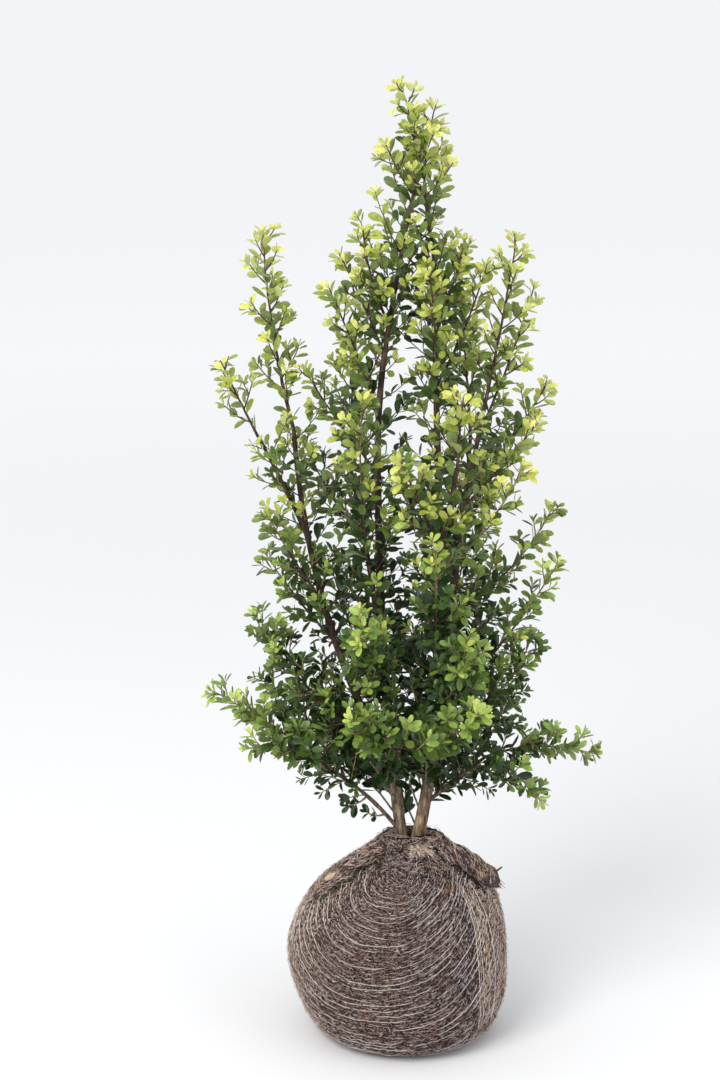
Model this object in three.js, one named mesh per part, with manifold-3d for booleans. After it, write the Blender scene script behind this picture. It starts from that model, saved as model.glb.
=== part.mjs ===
// A small-leaved holly on its root ball, in millimetres with +Z up.
// The origin is on the flat underside of the root ball, below the middle of its widest part,
// and the front faces -Y.

import * as THREE from 'three';
import { mergeVertices } from 'three/addons/utils/BufferGeometryUtils.js';
import Module from 'manifold-3d';

const wasm = await Module();
wasm.setup();

// ---------------------------------------------------------------- driving sizes

const CLEARANCE = 0.3; // gap between pieces that touch on the real plant
const GOLDEN_ANGLE = THREE.MathUtils.degToRad(137.5);
const UP = new THREE.Vector3(0, 0, 1);

// Root ball, wrapped in cloth: radius and height of each change in its outline.
const BALL_OUTLINE = [
  [0, 0], [84, 0], [110, 15], [125, 46], [131, 90], [128, 128], [116, 162],
  [94, 190], [66, 213], [45, 229], [37, 239], [32, 242], [28, 235], [0, 235],
];
const NECK_OFFSET = 15; // the cloth is gathered round the stems, right of the ball's middle
const SAG = 8; // the soil has settled to the right at the ball's foot
const BALL_SEGMENTS = 24;
const BALL_TOP = 235; // level seat of the two stems
const PLEATS = 11; // folds where the cloth is gathered round the neck
const PLEAT_DEPTH = 3.2;
const PLEATED = [150, 232]; // heights between which the pleats deepen
const LUMP_DEPTH = 2.6;
const BALL_REACH = 135; // foliage that hangs below the ball's top stays this far out

// The two stems: where each leans at quarter heights, from the ball to its top.
const STEMS = [
  {
    name: 'stem_left', top: 942, thick: [6.6, 2.4], flare: 1.8,
    lean: [[3, 0], [-16, 8], [-24, 15], [-23, 10], [3, 0]],
  },
  {
    name: 'stem_right', top: 932, thick: [7.2, 2.4], flare: 1.4,
    lean: [[22, 0], [49, 5], [46, 13], [41, 18], [36, 10]],
  },
];

// Rolls of spare cloth on the ball's shoulders: points along them, and radii at their ends.
const WRAP_ROLLS = [
  ['wrap_roll_right', [[54, -24, 233], [73, -29, 221], [94, -31, 205], [113, -31, 189]], [8, 11]],
  ['wrap_fold_left', [[-18, -32, 236], [-46, -50, 222], [-76, -58, 201], [-103, -50, 175]], [8, 11]],
];

const ROLL_WAVE = 0.12; // how far a roll swells and shrinks along its length
const ROLL_TURNS = 22;

// Boughs: limb they leave, share of the way along it, tip, sideways bow, radii at foot and tip.
const BOUGHS = [
  ['bough_left', 'stem_left', 0.12, [-122, 30, 719], [-44, 5, -14], [5.4, 2.6]],
  ['bough_far_left', 'bough_left', 0.70, [-162, 0, 717], [2, 4, 2], [2.6, 1.9]],
  ['bough_right', 'stem_right', 0.27, [95, -8, 754], [-9, 2, 2], [4.9, 2.5]],
  ['bough_front', 'stem_right', 0.23, [61, -88, 694], [-25, -22, -4], [4.2, 2.3]],
  ['bough_low_left', 'stem_left', 0.02, [-87, -30, 333], [5, -2, 15], [2.6, 1.9]],
  ['bough_low_right', 'stem_right', 0.07, [99, -22, 343], [0, -2, 2], [2.5, 1.9]],
  ['bough_low_front', 'stem_left', 0.14, [-1, -85, 379], [-1, -1, 0], [3.4, 2.2]],
  ['bough_back_left', 'stem_left', 0.30, [-58, 96, 668], [8, 26, -24], [4.2, 2.3]],
  ['bough_back_right', 'stem_right', 0.36, [84, 88, 700], [8, 24, -20], [4.2, 2.3]],
  ['bough_low_back', 'stem_right', 0.12, [22, 96, 388], [-6, 14, -4], [3.4, 2.2]],
];

// Masses of foliage: limb, share of the way along it, bearing of the tip in degrees about the
// plant's middle (0 is +X, 270 the front), its reach and height, bow of the mass's stem, and
// how far the side twigs reach out.
const MASSES = [
  ['foliage_top_left', 'stem_left', 1, 180, 4, 1116, [30, 0, 0], 52],
  ['foliage_top_right', 'stem_right', 1, 16, 42, 1093, [-24, 0, 1], 48],
  ['foliage_upper_left', 'stem_left', 0.86, 214, 52, 958, [-10, -10, -6], 40],
  ['foliage_upper_left_back', 'stem_left', 0.81, 150, 84, 926, [4, -5, 2], 42],
  ['foliage_upper_left_low', 'stem_left', 0.72, 195, 86, 893, [2, 8, 2], 42],
  ['foliage_upper_right', 'stem_right', 0.86, 346, 74, 948, [4, -6, -4], 38],
  ['foliage_upper_right_low', 'stem_right', 0.77, 345, 100, 920, [8, 4, -3], 42],
  ['foliage_upper_front', 'stem_right', 0.72, 296, 66, 914, [7, -14, -6], 46],
  ['foliage_left_spire', 'bough_left', 1, 169, 159, 954, [-13, 0, -2], 50],
  ['foliage_far_left', 'bough_far_left', 1, 183, 206, 802, [1, -1, 0], 42],
  ['foliage_left_inner', 'stem_left', 0.62, 176, 113, 799, [-5, 1, -4], 42],
  ['foliage_front_left', 'stem_left', 0.36, 246, 104, 779, [-23, 26, 12], 52],
  ['foliage_left', 'bough_left', 0.52, 187, 157, 639, [-4, -2, -3], 42],
  ['foliage_left_back', 'bough_left', 0.40, 164, 168, 578, [-6, 4, -5], 42],
  ['foliage_left_low', 'bough_left', 0.14, 185, 173, 520, [-20, -12, -26], 50],
  ['foliage_left_low_back', 'stem_left', 0.08, 160, 182, 424, [-4, 6, -3], 50],
  ['foliage_low_left', 'bough_low_left', 1, 196, 191, 360, [9, 0, 30], 40],
  ['foliage_low_left_up', 'bough_low_left', 0.72, 183, 225, 424, [7, 4, 8], 44],
  ['foliage_right_spire', 'bough_right', 1, 356, 129, 949, [4, 0, -1], 46],
  ['foliage_right_upper', 'bough_right', 0.90, 4, 152, 893, [6, 2, -6], 40],
  ['foliage_right', 'bough_right', 0.68, 12, 176, 777, [4, 4, -6], 46],
  ['foliage_right_front', 'bough_front', 0.80, 338, 168, 748, [4, -1, -3], 40],
  ['foliage_right_front_low', 'bough_front', 0.62, 321, 176, 708, [10, -4, -14], 40],
  ['foliage_right_back', 'bough_right', 0.27, 16, 190, 631, [20, 2, -22], 40],
  ['foliage_right_mid', 'stem_right', 0.24, 348, 186, 585, [8, -12, -16], 42],
  ['foliage_right_low', 'stem_right', 0.21, 14, 164, 484, [34, 4, -34], 50],
  ['foliage_low_right', 'bough_low_right', 1, 350, 236, 351, [-7, 2, 24], 42],
  ['foliage_low_right_down', 'bough_low_right', 0.78, 333, 184, 302, [9, -4, 36], 38],
  ['foliage_front', 'bough_front', 1, 301, 130, 776, [-2, 2, 1], 44],
  ['foliage_front_mid', 'bough_front', 0.66, 268, 148, 718, [0, 15, 9], 46],
  ['foliage_low_front_left', 'bough_low_front', 1, 248, 162, 432, [-8, -6, -13], 44],
  ['foliage_low_front_right', 'bough_low_front', 0.82, 303, 160, 436, [21, 2, -26], 44],
  ['foliage_front_low_left', 'stem_left', 0.25, 250, 128, 530, [-4, -12, -14], 56],
  ['foliage_front_low_right', 'stem_right', 0.19, 302, 136, 508, [8, -8, -10], 56],
  ['foliage_front_centre', 'bough_front', 0.26, 284, 150, 622, [0, -14, -16], 52],
  ['foliage_back_left_top', 'bough_back_left', 1, 117, 112, 866, [0, 8, -6], 50],
  ['foliage_back_left', 'bough_back_left', 0.62, 134, 172, 702, [-4, 6, -16], 48],
  ['foliage_back_right_top', 'bough_back_right', 1, 55, 120, 872, [4, 6, -4], 48],
  ['foliage_back_right', 'bough_back_right', 0.60, 40, 178, 706, [6, 6, -14], 46],
  ['foliage_back', 'bough_back_right', 0.34, 92, 168, 640, [0, 12, -18], 50],
  ['foliage_back_mid_left', 'stem_left', 0.22, 122, 168, 560, [-6, 16, -16], 52],
  ['foliage_back_mid_right', 'stem_right', 0.20, 48, 172, 548, [10, 14, -18], 52],
  ['foliage_low_back_left', 'stem_left', 0.07, 124, 190, 380, [-4, 10, 6], 48],
  ['foliage_low_back', 'bough_low_back', 1, 88, 188, 456, [0, 4, -12], 50],
  ['foliage_low_back_right', 'stem_right', 0.06, 42, 196, 372, [4, 8, 6], 48],
];

// Leaves. Each one stands for a few of the real ones, so it is larger than life.
const LEAF = {
  share: 1.12, // length over its mass's spread
  width: 0.5, thick: 0.055, // over its length
  widest: 0.56, // where it is widest, as a share of its length
  ridge: 2 / 3, // share of its thickness that lies above its root and tip
  sizes: [1, 0.8, 0.62, 0.48], // tried in turn where a full one doesn't fit
  least: 0.9, varies: 0.2, // least size of one, and how far sizes vary
  sunk: 0.3, endSunk: 2.5, // depth of its root in the twig, at the twig's side and end
  lean: THREE.MathUtils.degToRad(48), // from its twig
  lift: 0.4, // how far its blade turns up to the light
  endTurn: 0.5, // where it ends a twig, its blade stands at this turn about it
};
const LEAF_OUTLINE = [
  [0, 0, 0], [1, 0, 0], [0.78, 0.5, -0.2], [0.78, -0.5, -0.2], [0.56, 1, -0.3],
  [0.56, -1, -0.3], [0.35, 0.62, -0.2], [0.35, -0.62, -0.2], [0.56, 0, 0.7],
];

// Leaves at the tip of a mass's stem: share of the stem, turn in steps of the golden angle,
// lean, and size over a full leaf.
const TIP_LEAF = 0.85;
const TIP_LEAVES = [
  [1, 0, 0, TIP_LEAF], [0.97, 0, LEAF.lean, 0.8], [0.92, 1, LEAF.lean, 0.8],
];
// Leaves of a side twig: share of the twig, turn about it, and lean.
const SIDE_LEAVES = [[1, 0, 0.15], [0.8, 1.2, LEAF.lean], [0.5, 1.2 + Math.PI, LEAF.lean]];

const TWIG = {
  stemFoot: 2.3, stemTip: 1.7, side: 1.15, // radii
  stemSteps: 4, sideSteps: 2,
  first: 0.16, last: 0.96, // stretch of the stem that bears nodes
  spacing: 0.384, // between nodes, over a leaf's length
  seedTurn: 2.4, // turns each mass's nodes by its seed
  lean: THREE.MathUtils.degToRad(52), // from the stem
  foot: 1.15, taper: 0.6, // how far side twigs reach low on the stem, and how that falls off
  leafShare: 0.55, // of a leaf's length lies past its twig's tip
  sag: 0.92, rise: 0.2, // how far out and up a side twig's tip goes, over its reach
  sizes: [1, 0.75, 0.5], // tried in turn where a full one doesn't fit
  least: 7, // a shorter side twig gives way to a leaf
};
const TRIES = [0, 50, -50, 100, -100, 150, -150]; // other turns tried where one doesn't fit
const CELL_MARGIN = 1.6; // half the space kept between neighbouring masses
const MERGE = 0.02; // edges shorter than this are closed up after a join
const LEAST_EDGE = 0.0015; // corners closer than this could be taken for one
const LIMB_MARGIN = 1.2; // space kept between a leaf and a limb
const LIMB_CHAIN = 40; // straight pieces that a limb is measured by
const MASS_CHAIN = 14; // and a mass's stem
const FLARE_FADE = 22; // how fast a limb's flare fades above its foot
const BOUGH_FLARE = 0.25; // of a bough's radius at its foot

const COLOURS = {
  bark: { color: 0x7a6a58, roughness: 0.85 },
  soil: { color: 0x3b2c21, roughness: 0.95 },
  cloth: { color: 0x6b5b48, roughness: 0.95 },
  leaf: { color: 0x3f6a2c, roughness: 0.4 },
};

// ---------------------------------------------------------------- small helpers

// The same seeded numbers wherever this rule is written.
function makeRandom(seed) {
  let state = (seed * 2654435761) >>> 0;
  return function next() {
    state = (Math.imul(state, 1664525) + 1013904223) >>> 0;
    return state / 4294967296;
  };
}

function toSolid(geometry) {
  geometry.deleteAttribute('normal');
  geometry.deleteAttribute('uv');
  const merged = mergeVertices(geometry, 1e-4);
  return new wasm.Manifold(new wasm.Mesh({
    numProp: 3,
    vertProperties: new Float32Array(merged.attributes.position.array),
    triVerts: new Uint32Array(merged.index.array),
  }));
}

function toMesh(name, solid, colour) {
  const cut = solid.getMesh();
  const geometry = new THREE.BufferGeometry();
  geometry.setAttribute('position', new THREE.BufferAttribute(cut.vertProperties, 3));
  geometry.setIndex(new THREE.BufferAttribute(cut.triVerts, 1));
  geometry.computeVertexNormals();
  const material = new THREE.MeshStandardMaterial({ ...colour, metalness: 0 });
  const mesh = new THREE.Mesh(geometry, material);
  mesh.name = name;
  return mesh;
}

// The largest body of a solid: a loose scrap left by a cut is dropped.
function largestBody(solid) {
  const bodies = solid.decompose();
  bodies.sort((a, b) => b.volume() - a.volume());
  return bodies[0];
}

// A tapering tube along a curve: a closed cylinder whose rings are laid along it.
function tubeSolid(curve, radiusAt, sides, steps) {
  const geometry = new THREE.CylinderGeometry(1, 1, 1, sides, steps);
  const frames = curve.computeFrenetFrames(steps, false);
  const place = geometry.attributes.position;
  for (let i = 0; i < place.count; i += 1) {
    const share = place.getY(i) + 0.5;
    const ring = Math.round(share * steps);
    const radius = radiusAt(share);
    const across = frames.normals[ring].clone();
    const over = across.clone().cross(frames.tangents[ring]);
    const point = curve.getPointAt(share);
    point.addScaledVector(across, place.getX(i) * radius);
    point.addScaledVector(over, place.getZ(i) * radius);
    place.setXYZ(i, point.x, point.y, point.z);
  }
  return toSolid(geometry);
}

function bowedCurve(foot, tip, bow) {
  const middle = foot.clone().add(tip).multiplyScalar(0.5);
  middle.add(new THREE.Vector3(...bow));
  return new THREE.QuadraticBezierCurve3(foot, middle, tip);
}

function segmentDistance(point, a, b) {
  const abx = b.x - a.x;
  const aby = b.y - a.y;
  const abz = b.z - a.z;
  const apx = point.x - a.x;
  const apy = point.y - a.y;
  const apz = point.z - a.z;
  const along = (apx * abx + apy * aby + apz * abz) / (abx * abx + aby * aby + abz * abz);
  const t = Math.min(1, Math.max(0, along));
  return [Math.hypot(apx - t * abx, apy - t * aby, apz - t * abz), t];
}

// Least distance from a point to a chain of points, and how far along the chain it lies.
function chainDistance(point, chain) {
  let best = Infinity;
  let place = 0;
  for (let i = 0; i + 1 < chain.length; i += 1) {
    const [distance, t] = segmentDistance(point, chain[i], chain[i + 1]);
    if (distance < best) {
      best = distance;
      place = (i + t) / (chain.length - 1);
    }
  }
  return [best, place];
}

// ---------------------------------------------------------------- root ball

// Waves in the cloth: pleats gathered at the neck, and slow lumps of soil lower down.
function clothWave(angle, height) {
  const neck = THREE.MathUtils.smoothstep(height, ...PLEATED);
  const waist = Math.sin(Math.PI * Math.min(1, height / BALL_TOP));
  const pleats = Math.sin(PLEATS * angle + 0.9) * neck * PLEAT_DEPTH;
  const lumps = Math.sin(3 * angle + height / 40) + Math.cos(5 * angle - height / 29);
  return pleats + lumps * 0.5 * waist * LUMP_DEPTH;
}

// The ball's solid, grown outwards by a clearance where a neighbour is cut to it.
function ballSolid(grow) {
  const outline = BALL_OUTLINE.map(([radius, height]) => new THREE.Vector2(radius, height));
  const geometry = new THREE.LatheGeometry(outline, BALL_SEGMENTS);
  geometry.rotateX(Math.PI / 2);
  const place = geometry.attributes.position;
  for (let i = 0; i < place.count; i += 1) {
    const radius = Math.hypot(place.getX(i), place.getY(i));
    const height = place.getZ(i);
    const shift = NECK_OFFSET * THREE.MathUtils.smoothstep(height, 110, BALL_TOP)
      + SAG * (1 - THREE.MathUtils.smoothstep(height, 0, 100));
    const angle = Math.atan2(place.getY(i), place.getX(i));
    const scale = radius > 30 ? (radius + clothWave(angle, height) + grow) / radius : 1;
    place.setXY(i, place.getX(i) * scale + shift, place.getY(i) * scale);
    place.setZ(i, height + (height > 0 ? grow : 0));
  }
  return toSolid(geometry);
}

// A roll or fold of cloth that lies over the ball's shoulder.
function clothRoll(points, thick) {
  const curve = new THREE.CatmullRomCurve3(points.map((point) => new THREE.Vector3(...point)));
  const radiusAt = (share) => THREE.MathUtils.lerp(thick[0], thick[1], share)
    * (1 + ROLL_WAVE * Math.sin(share * ROLL_TURNS));
  const roll = tubeSolid(curve, radiusAt, 7, 7);
  return largestBody(roll.subtract(ballSolid(CLEARANCE)));
}

// ---------------------------------------------------------------- limbs

function stemCurve(stem) {
  const steps = stem.lean.length - 1;
  const points = stem.lean.map(([x, y], i) => {
    const height = THREE.MathUtils.lerp(BALL_TOP + CLEARANCE, stem.top, i / steps);
    return new THREE.Vector3(x, y, height);
  });
  const below = points[0].clone().sub(points[1]).setLength(6);
  points.unshift(points[0].clone().add(below));
  return new THREE.CatmullRomCurve3(points, false, 'centripetal');
}

// A limb: its curve, its radius from foot to tip, and a chain of points for measuring to it.
function makeLimb(name, curve, thick, flare, sides, steps) {
  const radiusAt = (share) => THREE.MathUtils.lerp(thick[0], thick[1], share)
    + flare * Math.exp(-share * FLARE_FADE);
  return {
    name, curve, radiusAt, sides, steps, chain: curve.getSpacedPoints(LIMB_CHAIN),
  };
}

function limbSolid(limb, grow) {
  return tubeSolid(limb.curve, (share) => limb.radiusAt(share) + grow, limb.sides, limb.steps);
}

// Foot of a branch on its limb: at the limb's tip it starts one clearance beyond it.
function footOn(limb, share) {
  const foot = limb.curve.getPointAt(share);
  if (share === 1) {
    foot.addScaledVector(limb.curve.getTangentAt(1), CLEARANCE);
  }
  return foot;
}

const limbs = new Map();
for (const stem of STEMS) {
  limbs.set(stem.name, makeLimb(stem.name, stemCurve(stem), stem.thick, stem.flare, 7, 11));
}
for (const [name, parent, share, tip, bow, thick] of BOUGHS) {
  const curve = bowedCurve(footOn(limbs.get(parent), share), new THREE.Vector3(...tip), bow);
  const limb = makeLimb(name, curve, thick, thick[0] * BOUGH_FLARE, 5, 5);
  limb.parent = parent;
  limbs.set(name, limb);
}

// ---------------------------------------------------------------- masses of foliage

function makeMass(spec, index) {
  const [name, parent, share, bearing, reach, height, bow, spread] = spec;
  const angle = THREE.MathUtils.degToRad(bearing);
  const tip = new THREE.Vector3(reach * Math.cos(angle), reach * Math.sin(angle), height);
  const curve = bowedCurve(footOn(limbs.get(parent), share), tip, bow);
  return {
    name, parent, share, spread, curve, tip, seed: index + 1,
    chain: curve.getSpacedPoints(MASS_CHAIN), heading: curve.getTangentAt(1), leaves: [],
  };
}

const masses = MASSES.map(makeMass);

// True where every point lies in the mass's own space: nearer to its stem than to any other
// mass's, within its spread, short of its tip, and clear of all limbs and the ball.
function fits(points, mass) {
  for (const point of points) {
    const own = chainDistance(point, mass.chain)[0];
    const past = point.clone().sub(mass.tip).dot(mass.heading);
    if (own > mass.spread || past > 0.5) {
      return false;
    }
    for (const other of masses) {
      if (other !== mass && chainDistance(point, other.chain)[0] < own + 2 * CELL_MARGIN) {
        return false;
      }
    }
    for (const limb of limbs.values()) {
      const [distance, share] = chainDistance(point, limb.chain);
      if (distance < limb.radiusAt(share) + LIMB_MARGIN) {
        return false;
      }
    }
    if (point.z < BALL_TOP && Math.hypot(point.x, point.y) < BALL_REACH) {
      return false;
    }
  }
  return true;
}

// One leaf of six faces: a flat spindle, widest past its middle, its root sunk in the twig.
function makeLeaf(root, direction, facing, length, sunk) {
  const along = direction.clone().normalize();
  const across = new THREE.Vector3().crossVectors(facing, along).normalize();
  const normal = new THREE.Vector3().crossVectors(along, across);
  const start = root.clone().addScaledVector(along, -sunk);
  const place = new THREE.Matrix4().makeBasis(along, across, normal).setPosition(start);
  place.scale(new THREE.Vector3(length, LEAF.width * length / 2, LEAF.thick * length));
  const outline = LEAF_OUTLINE.map(([x, y, z]) => new THREE.Vector3(x, y, z).applyMatrix4(place));
  return { place, outline };
}

// A sphere of three segments and two rings: its poles are the leaf's root and tip, two corners
// of its waist are the leaf's edges, and the third is the ridge along its back.
function leafSolid(leaf) {
  const geometry = new THREE.SphereGeometry(1, 3, 2);
  const corners = geometry.attributes.position;
  const halfWidth = Math.sin(Math.PI / 3);
  for (let i = 0; i < corners.count; i += 1) {
    const end = Math.round(corners.getY(i));
    const length = [1, LEAF.widest, 0][end + 1];
    corners.setXYZ(i, length, corners.getZ(i) / halfWidth, -corners.getX(i) * LEAF.ridge);
  }
  return toSolid(geometry.applyMatrix4(leaf.place));
}

// A direction that leans away from a twig by an angle, at a turn about the twig.
function sideways(curve, share, turn, lean) {
  const along = curve.getTangentAt(share);
  const level = new THREE.Vector3().crossVectors(along, UP);
  if (level.length() < 0.05) {
    level.set(1, 0, 0);
  }
  level.normalize();
  const over = new THREE.Vector3().crossVectors(level, along);
  const away = level.multiplyScalar(Math.cos(turn)).addScaledVector(over, Math.sin(turn));
  return along.multiplyScalar(Math.cos(lean)).addScaledVector(away, Math.sin(lean));
}

// The first of a few turns and sizes at which a twig or a leaf fits its mass's space.
function firstThatFits(mass, turn, sizes, make) {
  for (const size of sizes) {
    for (const extra of TRIES) {
      const made = make(turn + THREE.MathUtils.degToRad(extra), size);
      if (made && fits(made.outline, mass)) {
        return made;
      }
    }
  }
  return null;
}

// The middle of a twig's tube, which runs straight from ring to ring, at a share of its length.
function middleOf(curve, share, steps) {
  const ring = Math.min(Math.floor(share * steps), steps - 1);
  const from = curve.getPointAt(ring / steps);
  return from.lerp(curve.getPointAt((ring + 1) / steps), share * steps - ring);
}

// Adds a leaf to a mass where one fits its space without meeting the mass's other leaves.
function addLeaf(mass, curve, share, turn, lean, length) {
  const root = middleOf(curve, share, curve === mass.stem ? TWIG.stemSteps : TWIG.sideSteps);
  const atEnd = share === 1;
  const sunk = atEnd ? LEAF.endSunk : LEAF.sunk;
  const facing = atEnd
    ? sideways(curve, share, LEAF.endTurn, Math.PI / 2)
    : curve.getTangentAt(share).addScaledVector(UP, LEAF.lift);
  const leaf = firstThatFits(mass, turn, LEAF.sizes, (angle, scale) => {
    const direction = sideways(curve, share, angle, lean);
    const made = makeLeaf(root, direction, facing, length * scale, sunk);
    made.solid = leafSolid(made);
    const meets = mass.leaves.some((other) => other.intersect(made.solid).volume() > 0);
    return meets ? null : made;
  });
  if (leaf) {
    mass.leaves.push(leaf.solid);
  }
}

function sideTwig(mass, share, turn, chance) {
  const root = middleOf(mass.stem, share, TWIG.stemSteps);
  const spread = mass.spread * (TWIG.foot - TWIG.taper * share) * (0.9 + 0.25 * chance);
  const reach = spread - TWIG.leafShare * LEAF.share * mass.spread;
  if (reach < TWIG.least) {
    return null;
  }
  return firstThatFits(mass, turn, TWIG.sizes, (angle, scale) => {
    const away = sideways(mass.stem, share, angle, TWIG.lean);
    const tip = root.clone().addScaledVector(away, reach * scale * TWIG.sag);
    tip.addScaledVector(UP, reach * scale * TWIG.rise);
    const middle = root.clone().addScaledVector(away, reach * scale * 0.5);
    const curve = new THREE.QuadraticBezierCurve3(root, middle, tip);
    return { curve, outline: curve.getSpacedPoints(4) };
  });
}

// The part of a curve up to a share of its length.
function partOf(curve, share) {
  const steps = 6;
  const points = [];
  for (let i = 0; i <= steps; i += 1) {
    points.push(curve.getPointAt(share * i / steps));
  }
  return new THREE.CatmullRomCurve3(points);
}

// A branch's tube, cut one clearance off the limb that carries it.
function cutAtFoot(tube, parent, share) {
  if (share < 1) {
    return largestBody(tube.subtract(limbSolid(parent, CLEARANCE)));
  }
  const away = parent.curve.getTangentAt(1);
  const level = parent.curve.getPointAt(1).dot(away) + CLEARANCE;
  return tube.trimByPlane(away.toArray(), level);
}

function twigSolid(curve, foot, tip, steps) {
  return tubeSolid(curve, (share) => THREE.MathUtils.lerp(foot, tip, share), 3, steps);
}

// True where a solid stays closed when corners that could be taken for one are merged.
function staysClosed(solid) {
  const { vertProperties, triVerts } = solid.getMesh();
  const corners = [];
  for (let i = 0; i < vertProperties.length; i += 3) {
    corners.push(new THREE.Vector3().fromArray(vertProperties, i));
  }
  const merged = corners.map((corner) => (
    corners.findIndex((other) => other.distanceTo(corner) < LEAST_EDGE)));
  const edges = new Set();
  for (let i = 0; i < triVerts.length; i += 3) {
    const [a, b, c] = [merged[triVerts[i]], merged[triVerts[i + 1]], merged[triVerts[i + 2]]];
    if (a === b || b === c || c === a) {
      continue;
    }
    for (const edge of [`${a} ${b}`, `${b} ${c}`, `${c} ${a}`]) {
      if (edges.has(edge)) {
        return false;
      }
      edges.add(edge);
    }
  }
  return [...edges].every((edge) => edges.has(edge.split(' ').reverse().join(' ')));
}

// Fuses a mass into one body, without the one leaf whose joint would not stay closed, if any.
function joinMass(twigs, leaves) {
  for (let without = -1; without < leaves.length; without += 1) {
    const kept = leaves.filter((leaf, i) => i !== without);
    const solid = largestBody(wasm.Manifold.union([...twigs, ...kept]).simplify(MERGE));
    if (staysClosed(solid)) {
      return solid;
    }
  }
  throw new Error('a mass of foliage does not join into one closed body');
}

function growMass(mass) {
  const random = makeRandom(mass.seed);
  const length = mass.curve.getLength();
  const parent = limbs.get(mass.parent);
  const leafLength = mass.spread * LEAF.share;
  const stemShare = 1 - leafLength * TIP_LEAF / length;
  mass.stem = partOf(mass.curve, stemShare);
  const foot = mass.share === 1 ? parent.radiusAt(1) : TWIG.stemFoot;
  const tube = twigSolid(mass.stem, foot, TWIG.stemTip, TWIG.stemSteps);
  const twigs = [cutAtFoot(tube, parent, mass.share)];
  for (const [share, step, lean, size] of TIP_LEAVES) {
    const turn = step * GOLDEN_ANGLE + mass.seed;
    addLeaf(mass, mass.stem, share, turn, lean, leafLength * size);
  }
  const stretch = TWIG.last - TWIG.first;
  const room = length * stemShare * stretch / (leafLength * TWIG.spacing);
  const nodes = Math.max(2, Math.round(room));
  for (let i = 0; i < nodes; i += 1) {
    const share = TWIG.first + stretch * (i + 0.5) / nodes;
    const turn = i * GOLDEN_ANGLE + mass.seed * TWIG.seedTurn;
    const size = leafLength * (LEAF.least + LEAF.varies * random());
    const twig = i % 2 === 0 && sideTwig(mass, share, turn, random());
    if (!twig) {
      addLeaf(mass, mass.stem, share, turn, LEAF.lean, size);
      continue;
    }
    twigs.push(twigSolid(twig.curve, TWIG.side, TWIG.side, TWIG.sideSteps));
    for (const [place, extra, lean] of SIDE_LEAVES) {
      addLeaf(mass, twig.curve, place, turn + extra, lean, size);
    }
  }
  return joinMass(twigs, mass.leaves);
}

// ---------------------------------------------------------------- the whole plant

const group = new THREE.Group();
group.name = 'holly_on_root_ball';
group.add(toMesh('root_ball', ballSolid(0), COLOURS.soil));
for (const [name, points, thick] of WRAP_ROLLS) {
  group.add(toMesh(name, clothRoll(points, thick), COLOURS.cloth));
}
for (const limb of limbs.values()) {
  let solid = limbSolid(limb, 0);
  if (limb.parent) {
    solid = largestBody(solid.subtract(limbSolid(limbs.get(limb.parent), CLEARANCE)));
  } else {
    solid = solid.trimByPlane([0, 0, 1], BALL_TOP + CLEARANCE);
  }
  group.add(toMesh(limb.name, solid, COLOURS.bark));
}
for (const mass of masses) {
  group.add(toMesh(mass.name, growMass(mass), COLOURS.leaf));
}

export default group;
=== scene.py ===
import math
from collections import defaultdict
from itertools import product

import bpy
import numpy as np
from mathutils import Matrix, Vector


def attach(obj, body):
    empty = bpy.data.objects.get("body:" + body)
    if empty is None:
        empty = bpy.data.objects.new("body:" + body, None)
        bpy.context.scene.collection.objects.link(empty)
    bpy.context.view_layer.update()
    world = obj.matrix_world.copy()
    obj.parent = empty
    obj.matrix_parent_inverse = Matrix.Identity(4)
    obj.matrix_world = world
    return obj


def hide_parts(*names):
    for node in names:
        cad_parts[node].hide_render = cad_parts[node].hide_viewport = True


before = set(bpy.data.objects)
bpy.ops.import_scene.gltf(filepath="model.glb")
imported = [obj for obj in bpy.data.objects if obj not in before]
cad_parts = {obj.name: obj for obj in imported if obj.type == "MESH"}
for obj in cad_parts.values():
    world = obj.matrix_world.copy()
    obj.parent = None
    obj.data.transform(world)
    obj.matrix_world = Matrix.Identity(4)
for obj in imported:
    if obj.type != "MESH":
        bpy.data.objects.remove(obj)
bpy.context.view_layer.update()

# ------------------------------------------------------------------ sizes, in millimetres
# The limbs and masses have the same sizes as the solids, and grow by the same rule. The foot
# shoots and the left fold's course belong to the scene alone.

MM = 0.001
CLEARANCE = 0.3
GOLDEN = math.radians(137.5)
UP = np.array([0.0, 0.0, 1.0])
ASKEW = (0.31, 0.17, 0.93)  # a direction that hardly any twig or strand has
TINY = 1e-9

BALL_OUTLINE = [
    (84, 0), (110, 15), (125, 46), (131, 90), (128, 128), (116, 162),
    (94, 190), (66, 213), (45, 229), (37, 239), (32, 242), (28, 235),
]
NECK_OFFSET = 15  # how far the neck lies to the right of the ball's middle
NECK_SHIFT = (110, 235)  # heights between which the ball leans that way
SAG = 8  # how far the underside lies to the right
SAG_HEIGHT = 100
BALL_TOP = 235
BALL_WIDEST = 131  # its largest radius
PLEATS = 11
PLEAT_DEPTH = 3.2
PLEATED = (150, 232)
TUCK = 3.0  # how far the cloth is drawn in on the right
LUMP_DEPTH = 2.6
BALL_REACH = 135

STEMS = {
    "stem_left": (942, (6.6, 2.4), 1.8, [(3, 0), (-16, 8), (-24, 15), (-23, 10), (3, 0)]),
    "stem_right": (932, (7.2, 2.4), 1.4, [(22, 0), (49, 5), (46, 13), (41, 18), (36, 10)]),
}

ROLL_RIGHT = [(54, -24, 234), (73, -29, 224), (94, -31, 209), (114, -31, 191)]
FOLD_LEFT = [(-20, -30, 238), (-47, -33, 225), (-77, -38, 204), (-104, -34, 178)]

STEM_SUNK = 6  # how far the stems reach into the ball
FLARE_FADE = 22
BOUGH_FLARE = 0.25  # over the radius
LIMB_STEPS = 40

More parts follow.
